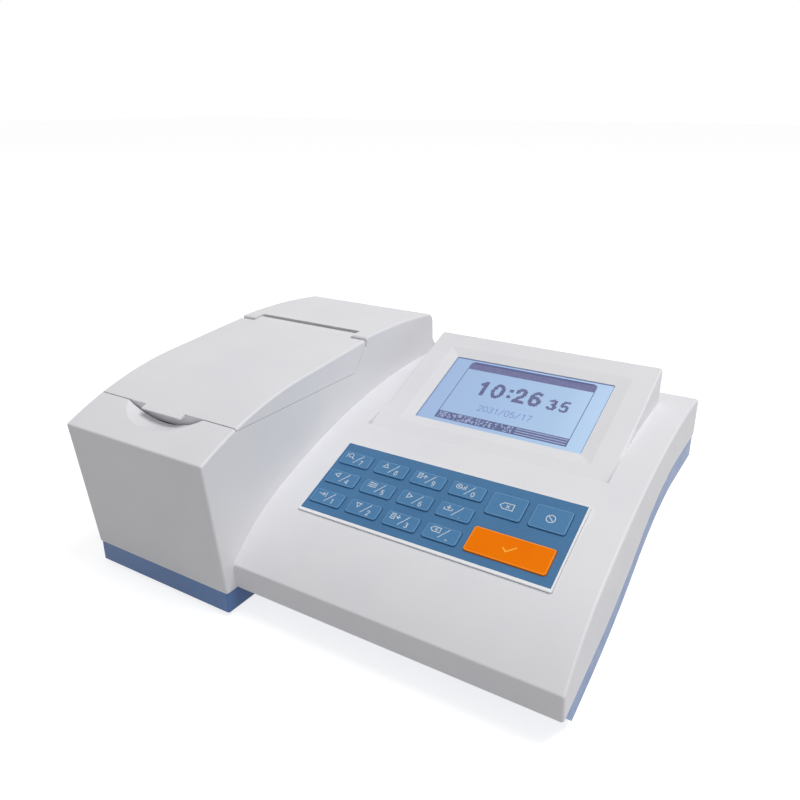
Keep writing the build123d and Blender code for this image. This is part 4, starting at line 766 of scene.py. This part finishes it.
halfAcross, halfUp = page["window"]
west, east = page["sides"]
headLow, headHigh = page["head"]
footLow, footHigh = page["foot"]
pageMarks("displayFilm", block((-halfAcross, -halfUp), (halfAcross, halfUp)), "film", displayBlue)
cut = page["corner"]
bend = cut * page["cornerCut"]
pageMarks("pageHead", area([
    (west, headLow), (east, headLow), (east, headHigh - cut), (east - bend, headHigh - bend),
    (east - cut, headHigh), (west + cut, headHigh), (west + bend, headHigh - bend), (west, headHigh - cut),
]), "levels", barInk)
pageMarks("pageFootBar", block((west, footLow), (east, footHigh)), "levels", footInk)
inset = page["side"]["inset"]
sideMarks = []
for across in (west + inset, east - inset):
    sideMarks += line([(across, footHigh), (across, headLow)], page["side"]["width"])
pageMarks("pageSides", sideMarks, "levels", frameInk)


def clockMarks(look):
    marks = []
    for text, place in look["runs"]:
        marks += dotted(text, place, look["height"], look["stroke"], look["pitch"], page["dot"])
    return marks


pageMarks("pageClock", clockMarks(page["clock"]), "levels", digitInk)
pageMarks("pageSeconds", clockMarks(page["second"]), "levels", digitInk)
date = page["date"]
dateMarks = digits(date["run"], date["place"], date["height"], date["stroke"], date["pitch"])
pageMarks("pageDate", dateMarks, "levels", fineInk)

footDots = page["footDots"]
chance = random.Random(footDots["seed"])
dotPitch, dotSide = page["dot"]
left, low = west + footDots["start"][0], footLow + footDots["start"][1]
footMarks = []
for column in range(footDots["columns"]):
    for row in range(footDots["rows"]):
        lit = chance.random() < footDots["share"]
        if lit and column % footDots["gap"]:
            footMarks += square((left + column * dotPitch, low + row * dotPitch), dotSide)
footLines = page["footLines"]
for step in range(footLines["count"]):
    up = footLow + footLines["start"] + step * footLines["pitch"]
    footMarks += line([(west + footLines["split"], up), (east - footLines["inset"], up)], footLines["width"])
pageMarks("pageFoot", footMarks, "upper", lightDots)
headLine = page["headLine"]
up = headHigh - headLine["drop"]
pageMarks("pageHeadEdge", line([(west + cut, up), (east - cut, up)], headLine["width"]), "upper", headInk)
inset = page["rimLine"]["inset"]
across, up = halfAcross - inset, halfUp - inset
rimMarks = line([(-across, -up), (across, -up), (across, up), (-across, up)], page["rimLine"]["width"], True)
pageMarks("windowRim", rimMarks, "rim", edgeInk)
print("display filled")


# stage and light

def stageLight(name, look):
    data = bpy.data.lights.new(name, "AREA")
    data.shape = "RECTANGLE"
    data.size, data.size_y = look["size"]
    data.energy = look["power"]
    data.color = look["colour"]
    lamp = bpy.data.objects.new(name, data)
    lamp.location = look["place"]
    towards = Vector(look["aim"]) - Vector(look["place"])
    lamp.rotation_euler = towards.to_track_quat("-Z", "Y").to_euler()
    bpy.context.scene.collection.objects.link(lamp)


stageLook = {
    "floor": 12.0,      # half its side
    "colour": (0.45, 0.45, 0.455, 1),
    "gloss": 0.9,
    "specular": 0.1,
    "lift": 0.78,       # the floor's own light where it is seen
    "world": 0.36,      # the sky's strength on the object
}


def seen(finish):  # 1 for rays that show a background: straight, mirrored or through glass
    rays = finish.node("ShaderNodeLightPath")
    path = rays.socket.node.outputs
    straight = Signal(finish, path["Is Camera Ray"])
    mirrored = Signal(finish, path["Is Glossy Ray"])
    through = Signal(finish, path["Is Transmission Ray"])
    return finish.node(
        "ShaderNodeMath", {"operation": "ADD", "use_clamp": True}, {0: straight + mirrored, 1: through}
    )


def makeFloor():
    shape = bmesh.new()
    bmesh.ops.create_grid(shape, x_segments=2, y_segments=2, size=stageLook["floor"])
    data = bpy.data.meshes.new("floor")
    shape.to_mesh(data)
    shape.free()
    floor = bpy.data.objects.new("floor", data)
    bpy.context.scene.collection.objects.link(floor)
    finish = Finish("floorPaper")
    finish.shade(
        Base_Color=stageLook["colour"],
        Roughness=stageLook["gloss"],
        Specular_IOR_Level=stageLook["specular"],
        Emission_Color=(1, 1, 1, 1),
        Emission_Strength=seen(finish) * stageLook["lift"],
    )
    data.materials.append(finish.owner)


makeFloor()
world = bpy.data.worlds.new("studio")
bpy.context.scene.world = world
sky = Finish("studio", world)
background = sky.tree.nodes["Background"]
sky.feed(background.inputs["Color"], (1, 1, 1, 1))
sky.feed(background.inputs["Strength"], sky.spread(seen(sky), (0.0, 1.0), (stageLook["world"], 1.0)))
keyLight = {
    "place": (1.25, 0.3, 3.0), "aim": (0, 0, 0.05), "size": (1.4, 1.4), "power": 58, "colour": (1, 1, 1),
}
fillLight = dict(keyLight, place=(1.0, -1.0, 0.75), size=(1.2, 0.8), power=3.0)
stageLight("key", keyLight)
stageLight("fill", fillLight)
bpy.context.scene.view_settings.view_transform = "Standard"
print("stage lit")
